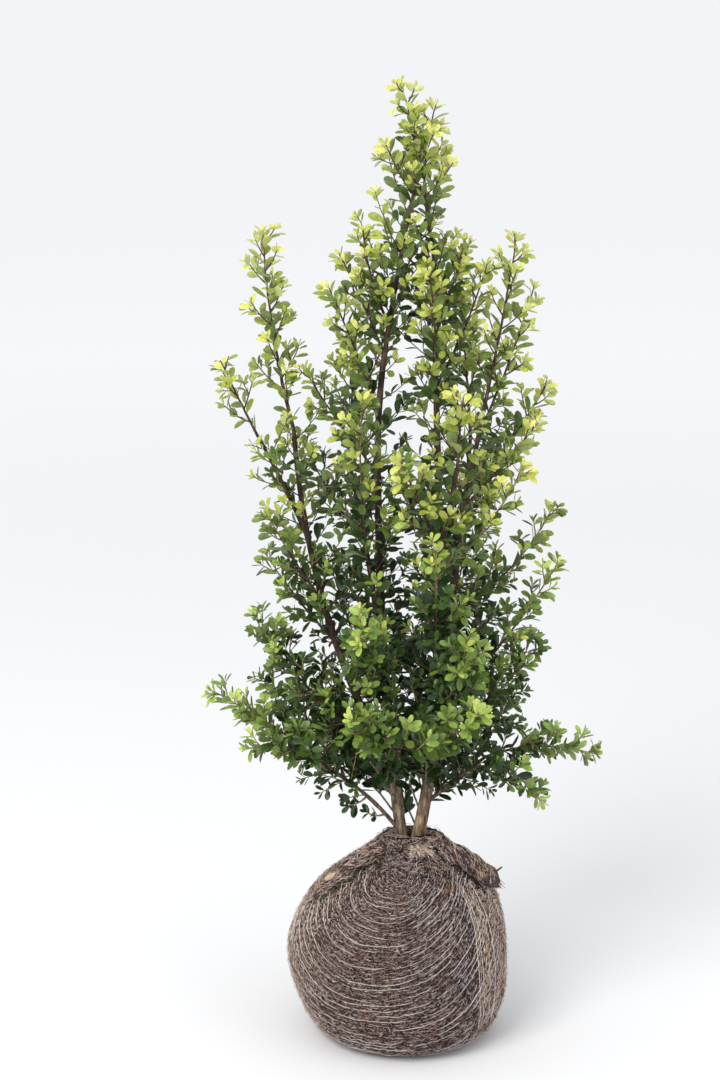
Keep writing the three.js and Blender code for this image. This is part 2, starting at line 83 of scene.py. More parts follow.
# Boughs: limb they leave, share of the way along it, tip, sideways bow, radii at foot and tip.
BOUGHS = [
    ("bough_left", "stem_left", 0.12, (-122, 30, 719), (-44, 5, -14), (5.4, 2.6)),
    ("bough_far_left", "bough_left", 0.70, (-162, 0, 717), (2, 4, 2), (2.6, 1.9)),
    ("bough_right", "stem_right", 0.27, (95, -8, 754), (-9, 2, 2), (4.9, 2.5)),
    ("bough_front", "stem_right", 0.23, (61, -88, 694), (-25, -22, -4), (4.2, 2.3)),
    ("bough_low_left", "stem_left", 0.02, (-87, -30, 333), (5, -2, 15), (2.6, 1.9)),
    ("bough_low_right", "stem_right", 0.07, (99, -22, 343), (0, -2, 2), (2.5, 1.9)),
    ("bough_low_front", "stem_left", 0.14, (-1, -85, 379), (-1, -1, 0), (3.4, 2.2)),
    ("bough_back_left", "stem_left", 0.30, (-58, 96, 668), (8, 26, -24), (4.2, 2.3)),
    ("bough_back_right", "stem_right", 0.36, (84, 88, 700), (8, 24, -20), (4.2, 2.3)),
    ("bough_low_back", "stem_right", 0.12, (22, 96, 388), (-6, 14, -4), (3.4, 2.2)),
]

# Masses of foliage: limb, share of the way along it, bearing in degrees, reach and height of the
# tip, bow and spread.
MASSES = [
    ("top_left", "stem_left", 1, 180, 4, 1116, (30, 0, 0), 52),
    ("top_right", "stem_right", 1, 16, 42, 1093, (-24, 0, 1), 48),
    ("upper_left", "stem_left", 0.86, 214, 52, 958, (-10, -10, -6), 40),
    ("upper_left_back", "stem_left", 0.81, 150, 84, 926, (4, -5, 2), 42),
    ("upper_left_low", "stem_left", 0.72, 195, 86, 893, (2, 8, 2), 42),
    ("upper_right", "stem_right", 0.86, 346, 74, 948, (4, -6, -4), 38),
    ("upper_right_low", "stem_right", 0.77, 345, 100, 920, (8, 4, -3), 42),
    ("upper_front", "stem_right", 0.72, 296, 66, 914, (7, -14, -6), 46),
    ("left_spire", "bough_left", 1, 169, 159, 954, (-13, 0, -2), 50),
    ("far_left", "bough_far_left", 1, 183, 206, 802, (1, -1, 0), 42),
    ("left_inner", "stem_left", 0.62, 176, 113, 799, (-5, 1, -4), 42),
    ("front_left", "stem_left", 0.36, 246, 104, 779, (-23, 26, 12), 52),
    ("left", "bough_left", 0.52, 187, 157, 639, (-4, -2, -3), 42),
    ("left_back", "bough_left", 0.40, 164, 168, 578, (-6, 4, -5), 42),
    ("left_low", "bough_left", 0.14, 185, 173, 520, (-20, -12, -26), 50),
    ("left_low_back", "stem_left", 0.08, 160, 182, 424, (-4, 6, -3), 50),
    ("low_left", "bough_low_left", 1, 196, 191, 360, (9, 0, 30), 40),
    ("low_left_up", "bough_low_left", 0.72, 183, 225, 424, (7, 4, 8), 44),
    ("right_spire", "bough_right", 1, 356, 129, 949, (4, 0, -1), 46),
    ("right_upper", "bough_right", 0.90, 4, 152, 893, (6, 2, -6), 40),
    ("right", "bough_right", 0.68, 12, 176, 777, (4, 4, -6), 46),
    ("right_front", "bough_front", 0.80, 338, 168, 748, (4, -1, -3), 40),
    ("right_front_low", "bough_front", 0.62, 321, 176, 708, (10, -4, -14), 40),
    ("right_back", "bough_right", 0.27, 16, 190, 631, (20, 2, -22), 40),
    ("right_mid", "stem_right", 0.24, 348, 186, 585, (8, -12, -16), 42),
    ("right_low", "stem_right", 0.21, 14, 164, 484, (34, 4, -34), 50),
    ("low_right", "bough_low_right", 1, 350, 236, 351, (-7, 2, 24), 42),
    ("low_right_down", "bough_low_right", 0.78, 333, 184, 302, (9, -4, 36), 38),
    ("front", "bough_front", 1, 301, 130, 776, (-2, 2, 1), 44),
    ("front_mid", "bough_front", 0.66, 268, 148, 718, (0, 15, 9), 46),
    ("low_front_left", "bough_low_front", 1, 248, 162, 432, (-8, -6, -13), 44),
    ("low_front_right", "bough_low_front", 0.82, 303, 160, 436, (21, 2, -26), 44),
    ("front_low_left", "stem_left", 0.25, 250, 128, 530, (-4, -12, -14), 56),
    ("front_low_right", "stem_right", 0.19, 302, 136, 508, (8, -8, -10), 56),
    ("front_centre", "bough_front", 0.26, 284, 150, 622, (0, -14, -16), 52),
    ("back_left_top", "bough_back_left", 1, 117, 112, 866, (0, 8, -6), 50),
    ("back_left", "bough_back_left", 0.62, 134, 172, 702, (-4, 6, -16), 48),
    ("back_right_top", "bough_back_right", 1, 55, 120, 872, (4, 6, -4), 48),
    ("back_right", "bough_back_right", 0.60, 40, 178, 706, (6, 6, -14), 46),
    ("back", "bough_back_right", 0.34, 92, 168, 640, (0, 12, -18), 50),
    ("back_mid_left", "stem_left", 0.22, 122, 168, 560, (-6, 16, -16), 52),
    ("back_mid_right", "stem_right", 0.20, 48, 172, 548, (10, 14, -18), 52),
    ("low_back_left", "stem_left", 0.07, 124, 190, 380, (-4, 10, 6), 48),
    ("low_back", "bough_low_back", 1, 88, 188, 456, (0, 4, -12), 50),
    ("low_back_right", "stem_right", 0.06, 42, 196, 372, (4, 8, 6), 48),
]

FOOT_SEED = 700
# Below this height the foot shoots' leaves are painted darker, as painted shade under the crown.
FOOT_SHADE_HEIGHT = 345  # height of the tips below which foot shoots have darker leaves
# Thin shoots near the plant's foot: limb, share of the way along it, tip and bow.
FOOT_SHOOTS = [
    ("stem_right", 0.050, (7, -8, 322), (-3, 0, 4)),
    ("stem_right", 0.075, (16, -16, 338), (-2, 0, 5)),
    ("stem_right", 0.085, (20, 34, 334), (0, 4, 4)),
    ("stem_left", 0.040, (-66, 14, 322), (6, 0, 14)),
    ("stem_left", 0.070, (-34, -40, 336), (0, -4, 8)),
    ("stem_left", 0.090, (-30, 40, 338), (0, 4, 8)),
    ("stem_right", 0.110, (74, 26, 346), (0, 4, 8)),
    ("stem_right", 0.080, (30, -48, 346), (0, -10, 0)),
    ("stem_left", 0.100, (2, -52, 372), (0, -12, 0)),
    ("stem_right", 0.110, (16, -60, 364), (0, -14, 0)),
    ("stem_left", 0.130, (14, -64, 400), (0, -12, 0)),
    ("stem_right", 0.150, (28, -66, 410), (0, -12, 0)),
    ("stem_left", 0.160, (-8, -62, 425), (0, -10, 0)),
    ("stem_right", 0.170, (12, -58, 440), (0, -10, 0)),
    ("bough_low_front", 0.78, (-16, -132, 398), (-2, -8, -14)),
    ("bough_low_front", 0.88, (8, -140, 412), (0, -8, -12)),
    ("bough_low_front", 0.95, (30, -130, 394), (4, -10, -14)),
    ("stem_left", 0.012, (8, 26, 284), (2, 4, 0)),
    ("stem_right", 0.020, (-4, 28, 298), (-2, 4, 0)),
    ("bough_low_left", 0.24, (-38, -26, 274), (-2, -2, -4)),
    ("bough_low_left", 0.50, (-60, -32, 284), (-2, -2, -4)),
]

# Leaves: stations along the blade, each with its half width over the widest.
LEAF_STATIONS = [(0.02, 0.2), (0.27, 0.76), (0.6, 1.0), (0.88, 0.68)]
LEAF_LENGTH = 19.5
LEAF_SIZES = (1.0, 0.8, 0.65)  # shares of its length at which a leaf is tried
LEAF_VARY = (0.78, 1.12)  # how its length varies by chance
LEAF_NEAR_TIP = (0.72, 1.0)  # and how it grows from a shoot's end to TIP_REACH behind it
TIP_REACH = 40
LEAF_MIDDLE = 0.6  # over its length
LEAF_BEND = (-0.02, 0.12)
LEAF_FOLD = (0.1, 0.4)
LEAF_WIDTH = 0.54  # over its length
LEAF_THICK = 0.35
PETIOLE = 0.12  # over its length
LEAF_LEAN = math.radians(48)
LEAN_VARY = (0.85, 1.15)
LEAF_LIFT = 0.45  # how far leaves face up
LEAF_OUT = 0.6  # how far they face out of the crown
LEAF_ROLL = 1.9  # how differently they turn about their own length, in radians
LEAF_SPACING = (5.9, 8.2)  # low in the crown and high in it
SPACING_VARY = (0.8, 1.2)
LEAF_GROWTH = 0.08  # how much larger leaves are high in the crown
AIRY = (380, 760)  # heights between which the leaves become larger and fewer
SHOOT_LIFT = 0.10  # how far a shoot's end turns up, over its length
LEAF_GAP = 4.9  # least distance between the middles of two leaves
TRIES = (0, 50, -50, 100, -100, 150, -150)  # turns about its twig at which a leaf is tried
ROSETTE = 5  # leaves close together at a shoot's end
ROSETTE_ROOM = 7  # length of the end that has no other leaves
ROSETTE_FIRST = 0.6  # from the end to the first one, and then on to the others
ROSETTE_STEP = 1.6

SHOOT_STEP = 9  # from bend to bend
SHOOT_WANDER = 0.9  # how far it bends aside
SHOOT_SHORT = 90  # length under which a shoot's end turns up
OLD_SHARE = 0.62  # share of a shoot that has old bark, if it is over OLD_LEAST long
OLD_LEAST = 40
TWIG_SIDES = 5
TWIG_RADII = (1.05, 0.6)  # at the foot and the tip, as for the next ones
FINER_RADII = (0.7, 0.5)
SPUR_RADII = (0.8, 0.5)
FOOT_SHOOT_RADII = (1.5, 0.8)
MASS_STEM_RADII = (2.0, 0.75)
TWIG_FIRST = 0.10  # share of the way along a mass's stem
TWIG_LAST = 0.97
TWIG_SPACING = (13.0, 15.5)  # low in the crown and high in it
TWIGS_CLOSER = 0.8  # the spacing where the crown is dense and on leaders, over that
FINER = 0.55  # share of the high twigs that bear a finer one
TWIG_LEAN = math.radians(50)
TWIG_FOOT = 1.15  # how far twigs reach at the stem's foot, over the mass's spread
TWIG_TAPER = 0.6  # how much less that is at its tip
TWIG_VARY = (0.9, 1.15)
TWIG_LEAST = 12.0
TWIG_RISE = 0.2  # how far it turns up
TWIG_SAG = 0.92  # how far a twig reaches out, over its length
TWIG_SIZE = 0.95  # how large the leaves of twigs, finer ones and spurs are
FINER_SIZE = 0.85
FINER_PLACES = (0.5,)  # shares of the way along a twig at which finer ones leave it
FINER_PLACES_DENSE = (0.35, 0.62)
FINER_LEAST = 24  # length of the twigs that bear finer ones, at least
SEED_TURN = 2.4  # from one mass's first twig to the next one's, in radians
LEADER_GAIN = (1.75, 0.44)  # how far side twigs reach at a leader's foot and at its top
SLIM = ((780, 920), (1.0, 0.88))  # heights of side masses, and how far their twigs reach
LOW_MASS = 400  # height of a low mass's tip at most
HANGING = 0.4  # how far a low mass's leaves hang below its stem, over the mass's spread
LIMB_MARGIN = 0.8  # gap between a limb and a leaf's middle or tip
DENSE = (300, 560)  # heights between which the crown is dense
BARE_FOOT = 280  # height below which the stems bear nothing
OLD_WOOD = 640  # height above which even thin twigs have dark bark
GREY_WOOD = 350  # height below which old twigs are grey
LIMB_NEAR = 80  # how far from its limb a spur's leaves may be

# Spurs along the limbs: spacing, lean, least length and how much longer, rise, bow and vigour.
SPURS = {
    "low": (3.8, 60, 14, 32, 0.0, 0.1, 0.4),
    "waist": (4.4, 46, 30, 48, 0.2, -0.06, 1.0),
    "stem": (8.0, 60, 18, 42, 0.2, -0.06, 1.0),
    "bough": (8.0, 60, 18, 34, 0.2, -0.06, 1.0),
}
SPUR_FIRST = 18.0  # where a limb's first spur may be
SPUR_VARY = 4.5  # how much wider the spacing is by chance
SPUR_SEED = 900
SPURS_LOW = 440  # height below which spurs are of the low kind
SPURS_WAIST = 800  # height above which a stem's spurs are of the waist's kind

TINTS = ("tip", "young", "light", "mid", "deep", "dark", "low_tip", "low_young", "low_light")
LEAST_SCORES = (1.08, 0.83, 0.59, 0.37, 0.17)  # of the first five tints, and the rest are dark
SCORE_FROM = 300  # height from which a leaf's height counts in its score
SCORE_SPAN = 750
# Height and outerness count partly for the leaves' age and partly as painted light and shade: high outer
# leaves get lighter tints, low inner ones darker.
BY_HEIGHT = 0.5  # how much each thing counts
BY_FRESHNESS = 0.8
BY_OUTERNESS = 0.35
BY_CHANCE = 0.3
GREENER = 560  # height below which the fresh leaves are greener
GREENER_SPREAD = 200  # how gradually that begins
FRESH_REACH = 22.0  # length of a shoot's end that bears fresh leaves
LIVELY = (450, 1000)  # heights between which more and more side shoots end in fresh leaves
LIVELY_SHARE = (0.25, 0.95)  # how many do, below and above
LIMP = 0.2  # vigour of the others
BROAD = 1.12  # how much larger the leaves of the bright masses are
BRIGHTER = 0.14  # how much their score is raised
TINT_SPREAD = 0.2  # how much the scores of masses differ, and of twigs in a mass
TWIG_TINT_SPREAD = 0.16
BRIGHT_TINT_SPREAD = 0.5  # of twigs in a bright mass
BRIGHT = ("low_front_left", "low_front_right", "front", "low_left", "low_left_up")
AXIS_X = 12  # the crown's middle
CROWN = [(270, 150), (350, 200), (450, 195), (600, 185), (750, 180), (900, 140), (1000, 60), (1120, 30)]


# ------------------------------------------------------------------ small helpers

def make_random(seed):
    """The same seeded numbers as the solids' rule uses."""
    state = (seed * 2654435761) & 0xFFFFFFFF

    def following():
        nonlocal state
        state = (state * 1664525 + 1013904223) & 0xFFFFFFFF
        return state / 4294967296
    return following


def unit(vector):
    return vector / max(TINY, np.linalg.norm(vector))


def units(vectors):
    """Vectors of an array, each brought to a length of one."""
    return vectors / np.maximum(TINY, np.linalg.norm(vectors, axis=-1))[..., None]


def turned(angles, levels, overs):
    """Directions at angles round from levels towards overs."""
    return np.cos(angles)[..., None] * levels + np.sin(angles)[..., None] * overs


def smoothstep(value, low, high):
    share = np.clip((value - low) / (high - low), 0, 1)
    return share * share * (3 - 2 * share)


def between(span, share):
    """The value a share of the way from one end of a span to the other."""
    return span[0] + (span[1] - span[0]) * share


def noise(points, scale, seed):
    """Smooth noise from -1 to 1 at each point, with lumps about scale across."""
    cell = np.asarray(points, float) / scale + 1000.5
    low = np.floor(cell).astype(np.int64)
    part = cell - low
    part = part * part * (3 - 2 * part)
    total = np.zeros(len(cell))
    for corner in range(8):
        step = np.array([corner & 1, corner >> 1 & 1, corner >> 2 & 1])
        place = low + step
        mixed = place[:, 0] * 374761393 + place[:, 1] * 668265263 + place[:, 2] * 2147483629
        mixed = (mixed + seed * 974634777) & 0xFFFFFFFF
        mixed = ((mixed ^ (mixed >> 13)) * 1274126177) & 0xFFFFFFFF
        value = ((mixed ^ (mixed >> 16)) & 0xFFFF) / 32767.5 - 1
        weight = np.where(step, part, 1 - part).prod(axis=1)
        total += weight * value
    return total


def layered(points, layers):
    """Noise in layers, each with its depth, the width of its lumps and its seed."""
    return sum(depth * noise(points, width, seed) for depth, width, seed in layers)


class Curve:
    """A curve through close points, read by share of its length."""

    def __init__(self, points):
        self.points = np.asarray(points, float)
        steps = np.linalg.norm(np.diff(self.points, axis=0), axis=1)
        self.along = np.concatenate([[0], np.cumsum(steps)])
        self.length = self.along[-1]

    def at(self, share):
        place = np.clip(share, 0, 1) * self.length
        return np.array([np.interp(place, self.along, self.points[:, k]) for k in range(3)]).T

    def heading(self, share):
        low = max(0.0, share - 0.01)
        high = min(1.0, share + 0.01)
        return unit(self.at(high) - self.at(low))

    def spaced(self, steps):
        return self.at(np.linspace(0, 1, steps + 1))


def bowed(foot, tip, bow):
    """A curve whose middle is drawn aside by half the bow."""
    foot = np.asarray(foot, float)
    tip = np.asarray(tip, float)
    middle = (foot + tip) / 2 + np.asarray(bow, float)
    t = np.linspace(0, 1, 61)[:, None]
    return Curve((1 - t) ** 2 * foot + 2 * t * (1 - t) * middle + t * t * tip)


def through(points):
    """A smooth curve through points, with the solids' centripetal spacing."""
    points = [np.asarray(p, float) for p in points]
    points = [2 * points[0] - points[1]] + points + [2 * points[-1] - points[-2]]
    found = []
    for p0, p1, p2, p3 in zip(points, points[1:], points[2:], points[3:]):
        gaps = [max(1e-6, np.linalg.norm(b - a)) ** 0.5 for a, b in ((p0, p1), (p1, p2), (p2, p3))]
        leave = (p1 - p0) / gaps[0] - (p2 - p0) / (gaps[0] + gaps[1]) + (p2 - p1) / gaps[1]
        reach = (p2 - p1) / gaps[1] - (p3 - p1) / (gaps[1] + gaps[2]) + (p3 - p2) / gaps[2]
        leave = leave * gaps[1]
        reach = reach * gaps[1]
        t = np.linspace(0, 1, 25)[:, None]
        found.append((2 * t ** 3 - 3 * t ** 2 + 1) * p1 + (t ** 3 - 2 * t ** 2 + t) * leave
                     + (3 * t ** 2 - 2 * t ** 3) * p2 + (t ** 3 - t ** 2) * reach)
    return Curve(np.concatenate([found[0][:1]] + [part[1:] for part in found]))


def chain_distance(point, chain):
    """Least distance from a point to a chain of points, and the share of the way along it."""
    start = chain[:-1]
    step = chain[1:] - start
    gap = point - start
    t = np.clip((gap * step).sum(1) / (step * step).sum(1), 0, 1)
    distance = np.linalg.norm(gap - t[:, None] * step, axis=1)
    best = int(distance.argmin())
    return distance[best], (best + t[best]) / len(start)


# ------------------------------------------------------------------ gathering meshes

class Heap:
    """Gathers corners and faces for one piece."""

    def __init__(self):
        self.corners = []
        self.faces = {3: [], 4: []}
        self.kinds = {3: [], 4: []}
        self.count = 0

    def add(self, corners, faces, kinds=(0, 0, 0)):
        """Adds corners, arrays of faces with three or four of them, and each array's material."""
        for array, kind in zip(faces, kinds):
            size = array.shape[1]
            self.faces[size].append(array + self.count)
            self.kinds[size].append(np.full(len(array), kind))
        self.corners.append(corners)
        self.count += len(corners)


def frames(points, start):
    """Headings along a chain, and two directions square to each that don't turn about it."""
    headings = units(np.gradient(points, axis=0))
    level = unit(np.cross(headings[0], start))
    levels = []
    for heading in headings:
        level = unit(level - heading * level.dot(heading))
        levels.append(level)
    levels = np.array(levels)
    return headings, levels, np.cross(headings, levels)


def spokes(levels, overs, sides):
    """Directions from each point of a chain to the corners of the ring round it."""
    return turned(np.arange(sides) * 2 * math.pi / sides, levels[..., None, :], overs[..., None, :])


def ring_faces(rings, sides):
    """Faces between rings of corners, and caps to the two corners that follow the last ring."""
    ring = np.arange(sides)
    after = (ring + 1) % sides
    base = (np.arange(rings - 1) * sides)[:, None]
    quads = np.stack([base + ring, base + after, base + sides + after, base + sides + ring], -1)
    foot = np.full(sides, rings * sides)
    last = (rings - 1) * sides
    return [quads.reshape(-1, 4), np.stack([foot, after, ring], -1),
            np.stack([foot + 1, last + ring, last + after], -1)]


def repeated(faces, count, corners):
    """Arrays of faces for many copies of a shape that has so many corners."""
    starts = (np.arange(count) * corners)[:, None, None]
    return [(starts + array).reshape(-1, array.shape[1]) for array in faces]


def tube(heap, points, radii, sides):
    """A round limb along points, with blunt ends."""
    points = np.asarray(points, float)
    upright = abs(unit(points[1] - points[0])[2]) >= 0.9
    headings, levels, overs = frames(points, (1, 0.2, 0) if upright else ASKEW)
    rings = points[:, None] + np.reshape(radii, (-1, 1, 1)) * spokes(levels, overs, sides)
    foot = points[:1] - headings[:1] * radii[0] * 0.3
    tip = points[-1:] + headings[-1:] * radii[-1] * 0.5
    heap.add(np.concatenate([rings.reshape(-1, 3), foot, tip]), ring_faces(len(points), sides))


def build(name, heap, materials, sharp=None):
    """Makes a piece of a heap, in metres, and lets it ride on the plant."""
    mesh = bpy.data.meshes.new(name)
    corners = np.concatenate(heap.corners) * MM
    faces = {size: np.concatenate(found) for size, found in heap.faces.items() if found}
    kinds = np.concatenate([kind for size in faces for kind in heap.kinds[size]])
    loops = np.concatenate([array.ravel() for array in faces.values()])
    sizes = np.repeat(list(faces), [len(array) for array in faces.values()])
    mesh.vertices.add(len(corners))
    mesh.vertices.foreach_set("co", corners.astype(np.float32).ravel())
    mesh.loops.add(len(loops))
    mesh.loops.foreach_set("vertex_index", loops.astype(np.int32))
    mesh.polygons.add(len(sizes))
    mesh.polygons.foreach_set("loop_start", (np.cumsum(sizes) - sizes).astype(np.int32))
    mesh.polygons.foreach_set("material_index", kinds.astype(np.int32))
    mesh.update(calc_edges=True)
    mesh.validate()
    if sharp is not None:
        pairs = np.zeros(len(mesh.edges) * 2, np.int32)
        mesh.edges.foreach_get("vertices", pairs)
        marks = mesh.attributes.new("sharp_edge", "BOOLEAN", "EDGE")
        marks.data.foreach_set("value", sharp(pairs.reshape(-1, 2)))
    for material in materials:
        mesh.materials.append(material)
    piece = bpy.data.objects.new(name, mesh)
    bpy.context.scene.collection.objects.link(piece)
    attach(piece, "root")
    return piece


# ------------------------------------------------------------------ materials

def fill(node, **values):
    """Sets a node's inputs, whose names have their spaces written as underscores."""
    for name, value in values.items():
        node.inputs[name.replace("_", " ")].default_value = value
    return node


def nodes_of(name, **values):
    material = bpy.data.materials.new(name)
    material.use_nodes = True
    tree = material.node_tree
    return material, tree, fill(tree.nodes["Principled BSDF"], **values)


def place_of(tree):
    return tree.nodes.new("ShaderNodeTexCoord").outputs["Object"]


def add_noise(tree, scale, detail=4.0, stretch=(1, 1, 1), roughness=0.55):
    mapping = fill(tree.nodes.new("ShaderNodeMapping"), Scale=stretch)
    texture = fill(tree.nodes.new("ShaderNodeTexNoise"), Scale=scale, Detail=detail, Roughness=roughness)
    tree.links.new(place_of(tree), mapping.inputs["Vector"])
    tree.links.new(mapping.outputs["Vector"], texture.inputs["Vector"])
    return texture.outputs["Fac"]


def add_ramp(tree, source, places, colours):
    ramp = tree.nodes.new("ShaderNodeValToRGB")
    elements = ramp.color_ramp.elements
    while len(elements) < len(places):
        elements.new(0.5)
    for element, place, colour in zip(elements, places, colours):
        element.position = place
        element.color = (*colour, 1)
    tree.links.new(source, ramp.inputs["Fac"])
    return ramp.outputs["Color"]


def add_bump(tree, shader, height, strength, distance):
    bump = fill(tree.nodes.new("ShaderNodeBump"), Strength=strength, Distance=distance)
    tree.links.new(height, bump.inputs["Height"])
    tree.links.new(bump.outputs["Normal"], shader.inputs["Normal"])


def linear(colour):
    """A colour given in plain 0 to 255 steps, as the shader needs it."""
    return tuple((c / 255 / 12.92) if c <= 10 else ((c / 255 + 0.055) / 1.055) ** 2.4
                 for c in colour)


def shaded(colour, amount):
    return tuple(min(1.0, c * amount) for c in colour)


def leaf_material(name, colour, roughness, glow):
    """A leaf's colour with a faint mottle, and some light through it as glow says."""
    material, tree, shader = nodes_of(
        name, Roughness=roughness, Specular_IOR_Level=0.38, Subsurface_Weight=glow,
        Subsurface_Radius=(0.6, 1.0, 0.2), Subsurface_Scale=0.002)
    mottle = add_ramp(tree, add_noise(tree, 260.0, 3.0), (0.32, 0.5, 0.7),
                      [shaded(linear(colour), amount) for amount in (0.8, 1, 1.22)])
    tree.links.new(mottle, shader.inputs["Base Color"])
    add_bump(tree, shader, add_noise(tree, 900.0, 3.0), 0.25, 0.0004)
    return material


def bark_material(name, low, high, scale, span=(0.3, 0.6)):
    """Bark with a dark, a middle and a pale colour, which change over a span of heights."""
    material, tree, shader = nodes_of(name, Roughness=0.8)
    grain = add_noise(tree, scale, 8.0, (1, 1, 0.25), 0.65)
    split = tree.nodes.new("ShaderNodeSeparateXYZ")
    tree.links.new(place_of(tree), split.inputs["Vector"])
    rise = fill(tree.nodes.new("ShaderNodeMapRange"), From_Min=span[0], From_Max=span[1])
    tree.links.new(split.outputs["Z"], rise.inputs["Value"])
    mix = tree.nodes.new("ShaderNodeMix")
    mix.data_type = "RGBA"
    tree.links.new(rise.outputs["Result"], mix.inputs["Factor"])
    colour_inputs = [socket for socket in mix.inputs if socket.type == "RGBA"]
    for colours, socket in zip((low, high), colour_inputs):
        ramp = add_ramp(tree, grain, (0.38, 0.5, 0.63), map(linear, colours))
        tree.links.new(ramp, socket)
    colour_out = [socket for socket in mix.outputs if socket.type == "RGBA"][0]
    tree.links.new(colour_out, shader.inputs["Base Color"])
    add_bump(tree, shader, add_noise(tree, scale * 3, 6.0, (1, 1, 0.4)), 0.5, 0.0008)
    return material


def earth_material(name, colours, scale, strength=0.8, stops=(0.36, 0.52, 0.7)):
    """A rough stuff with dark, middle and pale grains."""
    material, tree, shader = nodes_of(name, Roughness=0.95, Specular_IOR_Level=0.2)
    crumbs = add_noise(tree, scale, 10.0, (1, 1, 1), 0.7)
    ramp = add_ramp(tree, crumbs, stops, map(linear, colours))
    tree.links.new(ramp, shader.inputs["Base Color"])
    add_bump(tree, shader, add_noise(tree, scale * 2.5, 6.0), strength, 0.002)
    return material


# ------------------------------------------------------------------ limbs

class Limb:
    """A stem or bough: its curve, its radii at foot and tip, and how much its foot flares."""

    def __init__(self, name, curve, thick, flare):
        self.name = name
        self.curve = curve
        self.thick = thick
        self.flare = flare
        self.chain = curve.spaced(LIMB_STEPS)

    def radius(self, share):
        return between(self.thick, share) + self.flare * np.exp(-share * FLARE_FADE)


def foot_on(limb, share):
    """Where something grows from a limb, just past its tip or inside it."""
    foot = limb.curve.at(share)
    if share == 1:
        foot = foot + limb.curve.heading(1) * CLEARANCE
    return foot


limbs = {}
for stem_name, (top, thick, flare, lean) in STEMS.items():
    heights = np.linspace(BALL_TOP + CLEARANCE, top, len(lean))
    way = [np.array([x, y, z]) for (x, y), z in zip(lean, heights)]
    way.insert(0, way[0] + unit(way[0] - way[1]) * STEM_SUNK)
    limbs[stem_name] = Limb(stem_name, through(way), thick, flare)
for bough_name, parent, share, tip, bow, thick in BOUGHS:
    bough_curve = bowed(foot_on(limbs[parent], share), tip, bow)
    limbs[bough_name] = Limb(bough_name, bough_curve, thick, thick[0] * BOUGH_FLARE)

limb_list = list(limbs.values())
limb_starts = np.concatenate([limb.chain[:-1] for limb in limb_list])
limb_steps = np.concatenate([np.diff(limb.chain, axis=0) for limb in limb_list])
limb_squares = (limb_steps ** 2).sum(axis=1)
limb_middles = (np.arange(LIMB_STEPS) + 0.5) / LIMB_STEPS
limb_keeps = np.concatenate([limb.radius(limb_middles) for limb in limb_list])
limb_keeps = (limb_keeps + LIMB_MARGIN) ** 2


def clear_of_limbs(point):
    """True where a point lies outside all stems and boughs."""
    gap = point - limb_starts
    share = np.clip(np.einsum("ij,ij->i", gap, limb_steps) / limb_squares, 0, 1)
    gap = gap - share[:, None] * limb_steps
    return bool((np.einsum("ij,ij->i", gap, gap) > limb_keeps).all())


# ------------------------------------------------------------------ twigs and leaves

NEIGHBOURS = list(product((-1, 0, 1), repeat=3))


def cell_of(place):
    return tuple(math.floor(value / LEAF_GAP) for value in place)


class Leaves:
    """The leaves of the whole crown, kept apart from each other."""

    def __init__(self):
        self.rows = {tint: [] for tint in TINTS}
        self.cells = defaultdict(list)

    def crowded(self, middle):
        x, y, z = map(float, middle)
        column, row, level = cell_of((x, y, z))
        for right, back, up in NEIGHBOURS:
            for ox, oy, oz in self.cells.get((column + right, row + back, level + up), ()):
                if (ox - x) ** 2 + (oy - y) ** 2 + (oz - z) ** 2 < LEAF_GAP ** 2:
                    return True
        return False

    def put(self, row, tint, middle):
        place = tuple(map(float, middle))
        self.rows[tint].append(row)
        self.cells[cell_of(place)].append(place)


leaves = Leaves()
twig_heaps = {"grey": Heap(), "old": Heap(), "young": Heap()}


def sideways(along, turn, lean):
    """A direction that leans from another one, at a turn about it."""
    level = np.cross(along, UP)
    if np.linalg.norm(level) < 0.05:
        level = np.array([1.0, 0.0, 0.0])
    level = unit(level)
    over = np.cross(level, along)
    away = level * math.cos(turn) + over * math.sin(turn)
    return along * math.cos(lean) + away * math.sin(lean)


def outerness(point):
    """How near a point is to the crown's outside, from 0 at its middle to about 1."""
    reach = np.interp(point[2], [z for z, _ in CROWN], [r for _, r in CROWN])
    return min(1.2, math.hypot(point[0] - AXIS_X, point[1]) / reach)


def tint_of(point, fresh, offset, chance):
    """Fresh leaves at the ends of shoots are yellow-green and old ones are dark; leaves are also painted
    lighter high and outside the crown and darker low and inside it, as painted light and shade.
    """
    high = (point[2] - SCORE_FROM) / SCORE_SPAN
    score = BY_HEIGHT * high + BY_FRESHNESS * fresh + BY_OUTERNESS * (outerness(point) - 0.5)
    score += offset
    score += BY_CHANCE * (chance - 0.5)
    for tint, least in zip(TINTS, LEAST_SCORES):
        if score > least:
            greener = point[2] < GREENER + GREENER_SPREAD * (chance - 0.5) and "low_" + tint in TINTS
            return "low_" + tint if greener else tint
    return "dark"


def add_leaf(curve, place, turn, lean, length, random, in_space, offset, fresh):
    """One leaf at a place along its twig, where it fits."""
    share = place / curve.length
    root = curve.at(share)
    along = curve.heading(share)
    roll = LEAF_ROLL * (random() - 0.5)
    bend = between(LEAF_BEND, random())
    chance = random()
    out = unit(np.array([root[0] - AXIS_X, root[1], 0.0]))
    facing = along + UP * LEAF_LIFT + out * LEAF_OUT
    for size in LEAF_SIZES:
        for extra in TRIES:
            direction = sideways(along, turn + math.radians(extra), lean)
            blade = length * size
            middle = root + direction * blade * LEAF_MIDDLE
            tip = root + direction * blade * (1 + PETIOLE)
            if not in_space(tip) or leaves.crowded(middle):
                continue
            if not clear_of_limbs(middle) or not clear_of_limbs(tip):
                continue
            across = unit(np.cross(facing, direction))
            normal = np.cross(direction, across)
            across, normal = (across * math.cos(roll) + normal * math.sin(roll),
                              normal * math.cos(roll) - across * math.sin(roll))
            row = (root, direction, across, normal, blade, bend, between(LEAF_FOLD, chance))
            leaves.put(row, tint_of(tip, fresh, offset, random()), middle)
            return


